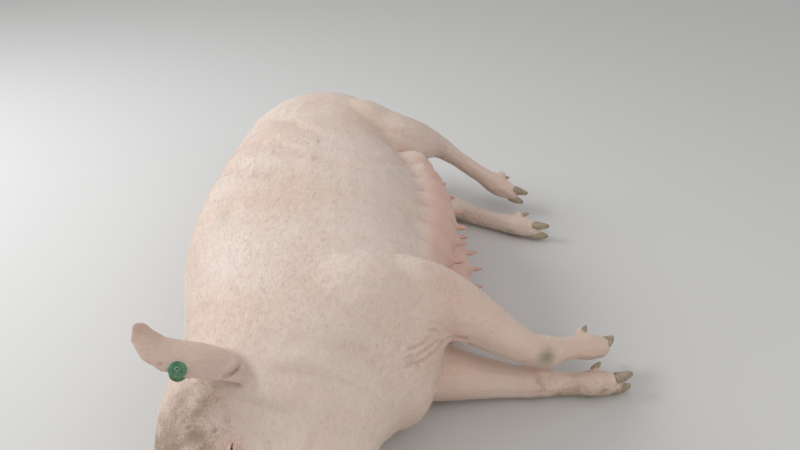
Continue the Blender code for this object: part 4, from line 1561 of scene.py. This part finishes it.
@dataclass
class Claw:
    """One claw or dewclaw: a rounded wall of horn with growth rings.

    Attributes:
        node: Its solid.
        ring_step: Distance between growth rings.
        ring_height: Height of a ring.
        root_swell: How much wider the hidden root is, so that no gap shows round it.
    """

    node: str
    ring_step: float = 0.0042
    ring_height: float = 0.00010
    root_swell: float = 0.0012

    def build(self, finish: bpy.types.Material) -> bpy.types.Object:
        """Make the claw from its solid.

        Args:
            finish: The horn.

        Returns:
            The finished piece.
        """
        bm = welded_bmesh(self.node)
        bmesh.ops.dissolve_limit(bm, angle_limit=math.radians(1.0), verts=bm.verts, edges=bm.edges)
        mesh = bpy.data.meshes.new(self.node)
        bm.to_mesh(mesh)
        bm.free()
        rough = mesh_object("rough_claw", mesh)
        soften = rough.modifiers.new("Soften", "SUBSURF")
        soften.levels = 3
        soften.render_levels = 3
        claw = Hide(applied(rough))
        claw.store()
        leg = Box.of(self.node.split("_claw")[0].split("_dewclaw")[0] + "_lower")
        axis = main_axes(claw.points)[0]
        middle = claw.points.mean(axis=0)
        if axis @ (middle - leg.at(0.3, 0.5, 0.5)) < 0.0:
            axis = -axis
        along = (claw.points - middle) @ axis
        share = (along - along.min()) / (along.max() - along.min())
        wave = np.sin(2.0 * np.pi * along / self.ring_step)
        rings = self.ring_height * wave * smoothstep(1.0 - share, 0.05, 0.3)
        root = 1.0 - smoothstep(share, 0.05, 0.40)
        claw.raise_by(rings + root * self.root_swell)
        claw.mesh.shade_smooth()
        claw.mesh.materials.clear()
        claw.mesh.materials.append(finish)
        piece = mesh_object(self.node + "_horn", claw.mesh)
        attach(piece, "root")
        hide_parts(self.node)
        return piece


@dataclass
class EarTag:
    """The round two-part tag through the left ear, bare of any mark.

    Attributes:
        segments: Facets round each disc.
        ridge: Height of the rings on the discs.
    """

    segments: int = 72
    ridge: float = 0.0009

    def seat(self, node: str, other: str) -> tuple[np.ndarray, np.ndarray, float]:
        """Where one disc lies.

        Args:
            node: The disc's solid.
            other: The solid of the disc on the ear's other side.

        Returns:
            The middle of its outer face, the way that face looks, and its radius.
        """
        points = node_points(node)
        away = points.mean(axis=0) - node_points(other).mean(axis=0)
        plate = node_points(other)
        axis = main_axes(plate if node == "ear_tag_button" else points)[2]
        if axis @ away < 0.0:
            axis = -axis
        height = points @ axis
        rim = points[height > height.max() - 0.004]
        middle = rim.mean(axis=0)
        middle += axis * (height.max() - middle @ axis)
        flat = points - middle
        flat -= np.outer(flat @ axis, axis)
        return middle, axis, float(np.linalg.norm(flat, axis=1).max())

    def turned(
        self,
        name: str,
        profile: Sequence[tuple[float, float]],
        middle: np.ndarray,
        axis: np.ndarray,
    ) -> bpy.types.Mesh:
        """A ring turned from a closed profile of radii and heights."""
        bm = bmesh.new()
        turn = Vector(axis).to_track_quat("Z", "Y").to_matrix().to_4x4()
        loops = []
        for radius, height in profile:
            loop = []
            for corner in range(self.segments):
                angle = 2.0 * math.pi * corner / self.segments
                loop.append(bm.verts.new((radius * math.cos(angle), radius * math.sin(angle), height)))
            loops.append(loop)
        for index, loop in enumerate(loops):
            following = loops[(index + 1) % len(loops)]
            for corner in range(self.segments):
                beside = (corner + 1) % self.segments
                bm.faces.new((loop[corner], loop[beside], following[beside], following[corner]))
        bmesh.ops.recalc_face_normals(bm, faces=bm.faces)
        bmesh.ops.transform(bm, matrix=Matrix.Translation(Vector(middle)) @ turn, verts=bm.verts)
        mesh = bpy.data.meshes.new(name)
        bm.to_mesh(mesh)
        bm.free()
        mesh.shade_smooth()
        mesh.set_sharp_from_angle(angle=math.radians(35.0))
        return mesh

    def build(self, finish: bpy.types.Material) -> list[bpy.types.Object]:
        """Make both discs.

        Args:
            finish: The plastic.

        Returns:
            The two finished pieces.
        """
        made = []
        for node, other, stem in (
            ("ear_tag_button", "ear_tag_washer", 0.0150),
            ("ear_tag_washer", "ear_tag_button", 0.0),
        ):
            middle, axis, radius = self.seat(node, other)
            top = 0.0 if node == "ear_tag_washer" else -0.0032
            profile = [(0.0016, top), (0.0036, top + 0.0002), (0.0046, top - 0.0010)]
            if node == "ear_tag_button":
                shaft = [(0.0016, -0.004), (0.0020, -0.0004)]
                profile = [*shaft, (0.0042, 0.0), (0.0058, -0.0008), (0.0066, top)]
            for share in (0.48, 0.66, 0.84):
                profile.append((radius * (share - 0.050), top - 0.0002))
                profile.append((radius * (share - 0.018), top + self.ridge))
                profile.append((radius * (share + 0.018), top + self.ridge))
                profile.append((radius * (share + 0.050), top - 0.0002))
            profile += [(radius * 0.95, top), (radius, top - 0.0008), (radius * 0.99, top - 0.0019)]
            profile += [(radius * 0.94, top - 0.0024), (0.0032, top - 0.0026)]
            if stem:
                profile += [(0.0029, top - stem), (0.0016, top - stem)]
            piece = mesh_object(node + "_disc", self.turned(node, profile, middle, axis))
            piece.data.materials.append(finish)
            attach(piece, "root")
            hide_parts(node)
            made.append(piece)
        return made


@dataclass(frozen=True)
class Bristles:
    """Sizes of the bristles on some parts.

    Attributes:
        parts: The parts that they grow on.
        density: How many grow on a square metre.
        length: Their usual length.
        width: Half width at the root.
        lift: How steeply they leave the skin, from zero, flat, to one.
    """

    parts: tuple[Part, ...]
    density: float
    length: float
    width: float
    lift: float


GROWTH = (
    Bristles((Part.SNOUT,), 30000.0, 0.0045, 0.00010, 0.26),
    Bristles((Part.HEAD,), 62000.0, 0.0105, 0.00014, 0.12),
    Bristles(EARS, 62000.0, 0.0080, 0.00012, 0.12),
    Bristles((Part.NECK,), 44000.0, 0.0150, 0.00017, 0.10),
    Bristles((Part.TRUNK,), 42000.0, 0.0160, 0.00018, 0.08),
    Bristles((Part.RUMP,), 40000.0, 0.0150, 0.00017, 0.09),
    Bristles((Part.UDDER,), 18000.0, 0.0085, 0.00011, 0.11),
    Bristles(UPPER_LEGS, 40000.0, 0.0120, 0.00015, 0.10),
    Bristles(LOWER_LEGS, 52000.0, 0.0095, 0.00014, 0.10),
    Bristles((Part.TAIL,), 60000.0, 0.0180, 0.00020, 0.16),
)


class Growth:
    """The way the bristles lie on each point of the skin, and their sizes there."""

    def __init__(self, hide: Hide, zones: Zones, bare: np.ndarray) -> None:
        """Set both part by part, then let them flow over the joins.

        Args:
            hide: The skin.
            zones: Its masks.
            bare: One where nothing grows.
        """
        ways = np.zeros((len(PARTS), 3))
        sizes = np.zeros((len(PARTS), 4))
        for index, part in enumerate(PARTS):
            ways[index] = self.way(part)
        for bristles in GROWTH:
            for part in bristles.parts:
                sizes[PARTS.index(part)] = (bristles.density, bristles.length, bristles.width, bristles.lift)
        lie = ways[zones.labels]
        for _ in range(3):
            lie = hide.blur(lie, 8)
            lie -= hide.normals * (lie * hide.normals).sum(axis=1)[:, None]
            lie = unit(lie)
        self.lie = lie
        self.sizes = hide.blur(sizes[zones.labels], 30)
        self.sizes[:, 0] *= 1.0 - bare
        ridge = smoothstep(-hide.normals[:, 0], 0.55, 0.95) * zones.of((Part.NECK, Part.TRUNK, Part.RUMP), 30)
        self.sizes[:, 1] *= 1.0 + 0.45 * ridge

    @staticmethod
    def way(part: Part) -> np.ndarray:
        """The direction from root to tip on one part."""
        if part in EARS:
            return np.array([-1.0, -0.15, 0.15])
        if part is Part.TAIL:
            return np.array([-0.1, 0.4, -1.0])
        if part in UPPER_LEGS or part in LOWER_LEGS:
            name = part.value.rsplit("_", 1)[0]
            start = Box.of(name + "_upper").at(0.0, 0.5, 0.5)
            end = Box.of(name + "_lower").at(1.0, 0.5, 0.5)
            return unit(end - start)
        if part is Part.UDDER:
            return np.array([0.0, 1.0, -0.15])
        return np.array([0.16, 1.0, 0.0])


class RootMap:
    """An unwrap of the skin's own shape, from which every bristle takes its place on the map."""

    FACES = 6000

    def __init__(self, hide: Hide) -> None:
        """Unwrap a coarse copy of the skin.

        Args:
            hide: The skin.
        """
        piece = mesh_object("root_map", hide.mesh.copy())
        thin = piece.modifiers.new("Thin out", "DECIMATE")
        thin.ratio = self.FACES / len(hide.mesh.polygons)
        mesh = applied(piece)
        piece = mesh_object("root_map", mesh)
        bpy.context.view_layer.objects.active = piece
        piece.select_set(True)
        bpy.ops.object.mode_set(mode="EDIT")
        bpy.ops.mesh.select_all(action="SELECT")
        bpy.ops.uv.smart_project(angle_limit=math.radians(66.0), island_margin=0.004)
        bpy.ops.object.mode_set(mode="OBJECT")
        mesh.calc_loop_triangles()
        count = len(mesh.loop_triangles)
        corners = np.empty(count * 3, np.int32)
        mesh.loop_triangles.foreach_get("vertices", corners)
        loops = np.empty(count * 3, np.int32)
        mesh.loop_triangles.foreach_get("loops", loops)
        places = np.empty(len(mesh.vertices) * 3, np.float32)
        mesh.vertices.foreach_get("co", places)
        map_places = np.empty(len(mesh.loops) * 2, np.float32)
        mesh.uv_layers.active.uv.foreach_get("vector", map_places)
        self.corners = places.reshape(-1, 3)[corners].reshape(-1, 3, 3).astype(float)
        self.uv = map_places.reshape(-1, 2)[loops].reshape(-1, 3, 2).astype(float)
        points = places.reshape(-1, 3).tolist()
        self.tree = BVHTree.FromPolygons(points, corners.reshape(-1, 3).tolist())
        bpy.data.objects.remove(piece, do_unlink=True)
        bpy.data.meshes.remove(mesh)

    def places(self, roots: np.ndarray) -> np.ndarray:
        """The place of each root on the map.

        Args:
            roots: Points on the skin.

        Returns:
            One pair of map coordinates a row.
        """
        find = self.tree.find_nearest
        hits = [find(root) for root in roots.tolist()]
        faces = np.array([hit[2] for hit in hits])
        spots = np.array([tuple(hit[0]) for hit in hits])
        first, second, third = (self.corners[faces, corner] for corner in range(3))
        normal = np.cross(second - first, third - first)
        area = np.maximum((normal**2).sum(axis=1), 1e-18)
        share_two = (np.cross(spots - first, third - first) * normal).sum(axis=1) / area
        share_three = (np.cross(second - first, spots - first) * normal).sum(axis=1) / area
        shares = np.stack([1.0 - share_two - share_three, share_two, share_three], axis=1)
        return np.clip((self.uv[faces] * shares[:, :, None]).sum(axis=1), 0.002, 0.998)


@dataclass(frozen=True)
class Coat:
    """A piece of the coat: closed, bent, tapering bristles rooted in the skin.

    Attributes:
        name: The piece's name.
        parts: The parts that it grows on.
        share: The share of those parts' bristles that it holds.
        seed: Start of its random draws.
    """

    name: str
    parts: tuple[Part, ...]
    share: float
    seed: int

    SIDES = 3
    MOST = 19900
    ROOT_DEPTH = 0.0012
    MAP_PATCH = 0.003

    def roots(
        self, hide: Hide, zones: Zones, growth: Growth, draw: np.random.Generator
    ) -> tuple[np.ndarray, np.ndarray]:
        """Random places on the skin of the piece's parts.

        Args:
            hide: The skin.
            zones: Its masks.
            growth: How the bristles grow.
            draw: Source of random numbers.

        Returns:
            The corner points of the chosen triangles and the shares of each corner.
        """
        corners = hide.triangles
        own = np.isin(zones.labels, [PARTS.index(part) for part in self.parts])
        first, second, third = (hide.points[corners[:, index]] for index in range(3))
        area = 0.5 * np.linalg.norm(np.cross(second - first, third - first), axis=1)
        weight = area * (growth.sizes[:, 0] * own)[corners].mean(axis=1)
        count = min(int(weight.sum() * self.share), self.MOST)
        chosen = draw.choice(len(corners), size=count, p=weight / weight.sum())
        shares = draw.dirichlet((1.0, 1.0, 1.0), size=count)
        LOG.info("%s: %d bristles of %d wanted", self.name, count, int(weight.sum() * self.share))
        return corners[chosen], shares[:, :, None]

    def grow(
        self, hide: Hide, zones: Zones, growth: Growth, root_map: RootMap, finish: bpy.types.Material
    ) -> bpy.types.Object:
        """Make the piece.

        Args:
            hide: The skin.
            zones: Its masks.
            growth: How the bristles grow.
            root_map: The unwrap that gives each bristle its place on the map.
            finish: The bristles' material.

        Returns:
            The finished piece.
        """
        draw = np.random.default_rng(self.seed)
        corners, weight = self.roots(hide, zones, growth, draw)
        root = (hide.points[corners] * weight).sum(axis=1)
        out = unit((hide.normals[corners] * weight).sum(axis=1))
        sizes = (growth.sizes[corners] * weight).sum(axis=1)
        way = unit((growth.lie[corners] * weight).sum(axis=1) + draw.normal(0.0, 0.20, (len(root), 3)))
        way = unit(way - out * (way * out).sum(axis=1)[:, None])
        length = (sizes[:, 1] * draw.uniform(0.65, 1.35, len(root)))[:, None]
        lift = np.clip(sizes[:, 3] + draw.normal(0.0, 0.07, len(root)), 0.04, 0.95)[:, None]
        early = unit(way + out * lift * 1.7)
        late = unit(way + out * lift * 0.30)
        knee = root + early * length * 0.45
        tip = np.maximum(knee + late * length * 0.55, [-9.0, -9.0, 0.0010])
        base = root - out * self.ROOT_DEPTH
        beside = unit(np.cross(way, out))
        above = np.cross(beside, early)
        width = (sizes[:, 2] * draw.uniform(0.75, 1.25, len(root)))[:, None]
        rings = []
        for centre, share in ((base, 1.0), (knee, 0.78)):
            for corner in range(self.SIDES):
                angle = 2.0 * np.pi * corner / self.SIDES + 0.5 * np.pi
                rings.append(centre + width * share * (beside * np.cos(angle) + above * np.sin(angle)))
        masks = (zones.masks[corners] * weight).sum(axis=1)
        return self.mesh_of(np.stack([*rings, tip], axis=1), root_map.places(root), masks, finish)

    def mesh_of(
        self, points: np.ndarray, patches: np.ndarray, masks: np.ndarray, finish: bpy.types.Material
    ) -> bpy.types.Object:
        """One mesh of all bristles, with its map and masks.

        Args:
            points: Seven points for each bristle.
            patches: The place of each root on the map.
            masks: The skin's masks at each root.
            finish: The bristles' material.

        Returns:
            The finished piece.
        """
        count, each = points.shape[:2]
        faces = [(2, 1, 0)]
        for corner in range(self.SIDES):
            beside = (corner + 1) % self.SIDES
            faces.append((corner, beside, beside + 3))
            faces.append((corner, beside + 3, corner + 3))
            faces.append((corner + 3, beside + 3, 6))
        pattern = np.array(faces)
        corners = (pattern[None] + (np.arange(count) * each)[:, None, None]).reshape(-1, 3)
        mesh = bpy.data.meshes.new(self.name)
        mesh.vertices.add(count * each)
        mesh.vertices.foreach_set("co", points.astype(np.float32).ravel())
        mesh.loops.add(len(corners) * 3)
        mesh.loops.foreach_set("vertex_index", corners.astype(np.int32).ravel())
        mesh.polygons.add(len(corners))
        mesh.polygons.foreach_set("loop_start", np.arange(0, len(corners) * 3, 3, dtype=np.int32))
        mesh.update(calc_edges=True)
        mesh.validate()
        around = np.array([0.0, 0.5, 1.0, 0.0, 0.5, 1.0, 0.5])
        upward = np.array([0.0, 0.0, 0.0, 0.55, 0.55, 0.55, 1.0])
        spread = (np.stack([around, upward], axis=1) - 0.5) * self.MAP_PATCH
        placed = patches[:, None, :] + spread[None]
        layer = mesh.uv_layers.new(name="OFBake")
        layer.uv.foreach_set("vector", placed.reshape(-1, 2)[corners.ravel()].astype(np.float32).ravel())
        zones = mesh.attributes.new("zones", "FLOAT_COLOR", "POINT")
        zones.data.foreach_set("color", np.repeat(masks, each, axis=0).astype(np.float32).ravel())
        mesh.shade_smooth()
        mesh.materials.append(finish)
        piece = mesh_object(self.name, mesh)
        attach(piece, "root")
        return piece


COATS = (
    Coat("coat_head", (Part.HEAD, Part.SNOUT), 1.0, 11),
    Coat("coat_neck", (Part.NECK, *EARS), 1.0, 12),
    Coat("coat_trunk_a", (Part.TRUNK,), 0.5, 13),
    Coat("coat_trunk_b", (Part.TRUNK,), 0.5, 14),
    Coat("coat_rump", (Part.RUMP, Part.TAIL), 1.0, 15),
    Coat("coat_limbs", (*UPPER_LEGS, *LOWER_LEGS, Part.UDDER), 1.0, 16),
)


@dataclass(frozen=True)
class Studio:
    """The floor, the lights and the camera."""

    camera_place: Place = (-0.0008, -2.0974, 1.40)
    camera_fall: float = 27.5
    lens: float = 41.54
    floor_size: float = 40.0

    def build(self) -> None:
        """Set up everything that isn't part of the sow."""
        self.add_camera()
        self.add_floor()
        self.add_lights()

    def add_camera(self) -> None:
        """The camera stands before her head and looks along her body, a little down."""
        data = bpy.data.cameras.new("camera")
        data.sensor_width = 36.0
        data.lens = self.lens
        data.clip_end = 100.0
        camera = bpy.data.objects.new("camera", data)
        camera.location = self.camera_place
        camera.rotation_euler = (math.radians(90.0 - self.camera_fall), 0.0, 0.0)
        bpy.context.scene.collection.objects.link(camera)
        bpy.context.scene.camera = camera

    def add_floor(self) -> None:
        """A plain pale floor."""
        bm = bmesh.new()
        bmesh.ops.create_grid(bm, x_segments=4, y_segments=4, size=self.floor_size * 0.5)
        mesh = bpy.data.meshes.new("studio_floor")
        bm.to_mesh(mesh)
        bm.free()
        floor = mesh_object("studio_floor", mesh)
        floor.data.materials.append(FloorFinish().material())

    def add_lights(self) -> None:
        """A wide soft light over her back, a weaker one from the front, and an even sky."""
        for name, place, size, power, tint in (
            ("key", (-3.1, 0.8, 2.4), 2.0, 98.0, (0.93, 0.965, 1.0)),
            ("fill", (2.4, -3.2, 3.0), 3.5, 50.0, (1.0, 0.975, 0.94)),
        ):
            data = bpy.data.lights.new(name, "AREA")
            data.shape = "DISK"
            data.size = size
            data.energy = power
            data.color = tint
            lamp = bpy.data.objects.new(name, data)
            lamp.location = place
            aim = Vector((-0.1, -0.2, 0.2)) - Vector(place)
            lamp.rotation_euler = aim.to_track_quat("-Z", "Y").to_euler()
            bpy.context.scene.collection.objects.link(lamp)
        world = bpy.data.worlds.new("sky")
        world.use_nodes = True
        background = world.node_tree.nodes["Background"]
        background.inputs["Color"].default_value = (0.98, 0.985, 1.0, 1.0)
        background.inputs["Strength"].default_value = 0.52
        bpy.context.scene.world = world
        bpy.context.scene.view_settings.view_transform = "Standard"


@dataclass(frozen=True)
class FloorFinish:
    """Plain matt pale floor."""

    colour: Colour = (0.64, 0.63, 0.61)

    def material(self) -> bpy.types.Material:
        """The floor's material."""
        material = bpy.data.materials.new("floor")
        material.use_nodes = True
        shader = material.node_tree.nodes["Principled BSDF"]
        shader.inputs["Base Color"].default_value = (*self.colour, 1.0)
        shader.inputs["Roughness"].default_value = 0.9
        return material


class Sow:
    """Builds the sow's pieces in order."""

    def __init__(self) -> None:
        """Prepare the shared effects and finishes."""
        self.effects = Effects()
        self.part_map = PartMap()
        self.skin_finish = SkinFinish()
        self.lids = [Eyelids(side) for side in Side]
        self.muzzle = Muzzle()
        self.teats = Teats()
        self.teat_middles: list[np.ndarray] = []

    def cast(self) -> Hide:
        """The skin without detail: smooth on the big forms, fine where detail goes."""
        casting = SkinCasting()
        hide = casting.cast()
        LOG.info("cast %d points", len(hide.points))
        zones = Zones(hide, self.part_map)
        ears = zones.of(EARS, 3)
        teats = self.teats.find(hide, zones)
        LOG.info("found %d teats", len(teats))
        kept = 1.0 - self.teats.near(hide, teats)
        hide.relax(0.8 * (0.4 + 0.6 * kept), casting.limb_rounds)
        hide.relax(zones.of((*BARREL, *FACE), 6) * 0.9, 26)
        hide.relax(np.maximum(ears, zones.of((Part.SNOUT,), 4)), 24)
        barrel = zones.of(BARREL, 14)
        hide.relax(np.maximum(barrel, 0.20 * zones.of((Part.UDDER,), 6)) * kept, casting.barrel_rounds)
        udder = zones.of((Part.UDDER,), 8)[:, None]
        smooth = hide.blur(hide.points, casting.udder_rounds)
        settling = (smooth - hide.points) * casting.udder_settling * udder
        teats = self.teats.carry(hide, teats, settling)
        hide.points += settling
        sharp_ears = zones.of(EARS, 1)
        depth = casting.overlap + casting.coat_depth
        hide.raise_by(-depth + (depth - casting.ear_overlap - casting.ear_depth) * sharp_ears)
        for _ in range(3):
            hide.points += (hide.neighbours_mean(hide.points) - hide.points) * 0.5 * sharp_ears[:, None]
        hide.store()
        elbow = Box.of(Part.LEFT_FORE_UPPER.value).at(0.0, 0.3, 0.5)
        busy = np.linalg.norm(hide.points - elbow, axis=1) < 0.17
        hide.thin_out(np.where(busy, 0.0, barrel), casting.kept_faces)
        self.muzzle.refine(hide)
        for pair in self.lids:
            pair.refine(hide)
        self.teats.refine(hide, teats)
        self.teat_middles = teats
        LOG.info("refined to %d points", len(hide.points))
        return hide

    def shape(self, hide: Hide) -> Zones:
        """Work the anatomy into the skin.

        Args:
            hide: The smooth skin.

        Returns:
            The masks of the finished skin.
        """
        zones = Zones(hide, self.part_map)
        hide.relax(zones.of(FACE, 2), 8)
        for pair in self.lids:
            pair.shape(hide)
        self.muzzle.shape(hide)
        BodyFolds().shape(hide)
        for part in EARS:
            EarForm(part).shape(hide, zones)
        shade = FaceFolds().shape(hide)
        zones.masks = self.masks(hide, zones)
        zones.masks[:, 2] = np.maximum(zones.masks[:, 2], shade)
        LOG.info("shaped the skin")
        return zones

    def masks(self, hide: Hide, zones: Zones) -> np.ndarray:
        """Rosy, grimy, shaded and mossy shares of each point, as the columns of an array."""
        points = hide.points
        back = points[:, 1] - self.muzzle.front
        low = 1.0 - smoothstep(points[:, 2], 0.0, 0.10)
        belly = smoothstep(points[:, 0], 0.02, 0.14) * zones.of(BARREL, 30)
        rosy = 0.12 + 0.62 * zones.of((Part.UDDER,), 80) + 0.12 * zones.of(EARS, 10) + 0.20 * belly
        rosy += 0.46 * (1.0 - smoothstep(back, 0.004, 0.115))
        rosy += 0.06 * zones.of(UPPER_LEGS, 24) + 0.05 * zones.of(LOWER_LEGS, 12)
        grimy = 0.12 + 0.20 * zones.of(FACE, 24) + 0.26 * zones.of(LOWER_LEGS, 20)
        grimy += 0.10 * zones.of((Part.UDDER,), 20)
        grimy += 0.20 * low + 0.08 * zones.of(EARS, 6)
        # The brow is darkened with dirt and with painted shade.
        brow = smoothstep(-points[:, 0], 0.27, 0.40) * smoothstep(-points[:, 1], 0.57, 0.71)
        brow = brow * zones.of(FACE, 16)
        grimy += 0.10 * (1.0 - smoothstep(back, 0.16, 0.34)) * zones.of(FACE, 10) + 0.43 * brow
        # The right foreleg, lying under the left one, is made a little darker.
        grimy += 0.10 * zones.of((Part.RIGHT_FORE_UPPER, Part.RIGHT_FORE_LOWER), 10)
        shaded = 0.34 * zones.of(EARS, 8) + 0.24 * brow
        for pair in self.lids:
            offset = np.linalg.norm(points - pair.middle, axis=1)
            rosy += 0.50 * bell(offset, 0.028)
            shaded += 0.35 * bell(offset, 0.0135)
        for middle in self.teat_middles:
            rosy += 0.25 * bell(np.linalg.norm(points - middle, axis=1), 0.016)
        vulva = Box.of(Part.RUMP.value).at(0.436, 0.985, 0.384)
        rosy += 0.45 * bell(np.linalg.norm(points - vulva, axis=1), 0.034)
        hollow = np.clip(hide.hollows(10) / 0.0030, 0.0, 1.0)
        shaded += 0.15 * hollow
        rosy += 0.22 * hollow
        knee = Box.of(Part.LEFT_FORE_LOWER.value).at(0.10, 0.058, 0.72)
        mossy = 0.75 * bell(np.linalg.norm(points - knee, axis=1), 0.022)
        nick = Box.of(Part.LEFT_EAR.value).at(0.292, 0.155, 0.60)
        shaded += 0.9 * bell(np.linalg.norm((points - nick) * np.array([0.5, 1.0, 0.5]), axis=1), 0.0024)
        withers = Box.of(Part.TRUNK.value).at(0.179, 0.417, 0.863)
        mossy += 0.20 * bell(np.linalg.norm((points - withers) * np.array([1.0, 0.55, 0.3]), axis=1), 0.020)
        columns = np.stack([rosy, grimy, shaded, mossy], axis=1)
        return np.clip(columns, 0.0, 1.0)

    def dress(self, hide: Hide, zones: Zones) -> None:
        """Make the skin a piece of its own, with its masks and material."""
        mesh = hide.mesh
        colours = mesh.attributes.new("zones", "FLOAT_COLOR", "POINT")
        colours.data.foreach_set("color", zones.masks.astype(np.float32).ravel())
        lie = mesh.attributes.new("lie", "FLOAT", "POINT")
        crosswise = zones.of((*UPPER_LEGS, *LOWER_LEGS, *EARS), 6)
        lie.data.foreach_set("value", crosswise.astype(np.float32))
        mesh.shade_smooth()
        mesh.materials.clear()
        mesh.materials.append(self.skin_finish.material(self.effects))
        skin = mesh_object("sow_skin", mesh)
        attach(skin, "root")
        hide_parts(*[part.value for part in PARTS])
        LOG.info("dressed the skin")

    def add_hard_pieces(self, hide: Hide) -> None:
        """The eyeballs, the claws and the ear tag."""
        eye = EyeFinish().materials()
        for pair in self.lids:
            Eyeball(pair.side).build(pair.lid_frame(hide), eye)
        horn = HornFinish().material(self.effects)
        for node in sorted(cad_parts):
            if "claw" in node:
                Claw(node).build(horn)
        EarTag().build(TagFinish().material(self.effects))
        LOG.info("made the eyes, claws and ear tag")

    def grow_coat(self, hide: Hide, zones: Zones) -> None:
        """The bristles, in pieces."""
        bare = np.zeros(len(hide.points))
        for pair in self.lids:
            bare = np.maximum(bare, bell(np.linalg.norm(hide.points - pair.middle, axis=1), 0.016))
        bare = np.maximum(bare, 1.0 - smoothstep(hide.points[:, 2], 0.002, 0.012))
        growth = Growth(hide, zones, np.clip(bare, 0.0, 1.0))
        root_map = RootMap(hide)
        finish = BristleFinish().material(self.skin_finish, self.effects)
        for coat in COATS:
            coat.grow(hide, zones, growth, root_map, finish)

    def build(self) -> None:
        """Make every piece."""
        hide = self.cast()
        zones = self.shape(hide)
        self.dress(hide, zones)
        self.add_hard_pieces(hide)
        self.grow_coat(hide, zones)


def main() -> None:
    """Build the studio and the sow."""
    logging.basicConfig(level=logging.INFO, format="%(name)s: %(message)s")
    Studio().build()
    Sow().build()


if __name__ == "__main__":
    main()
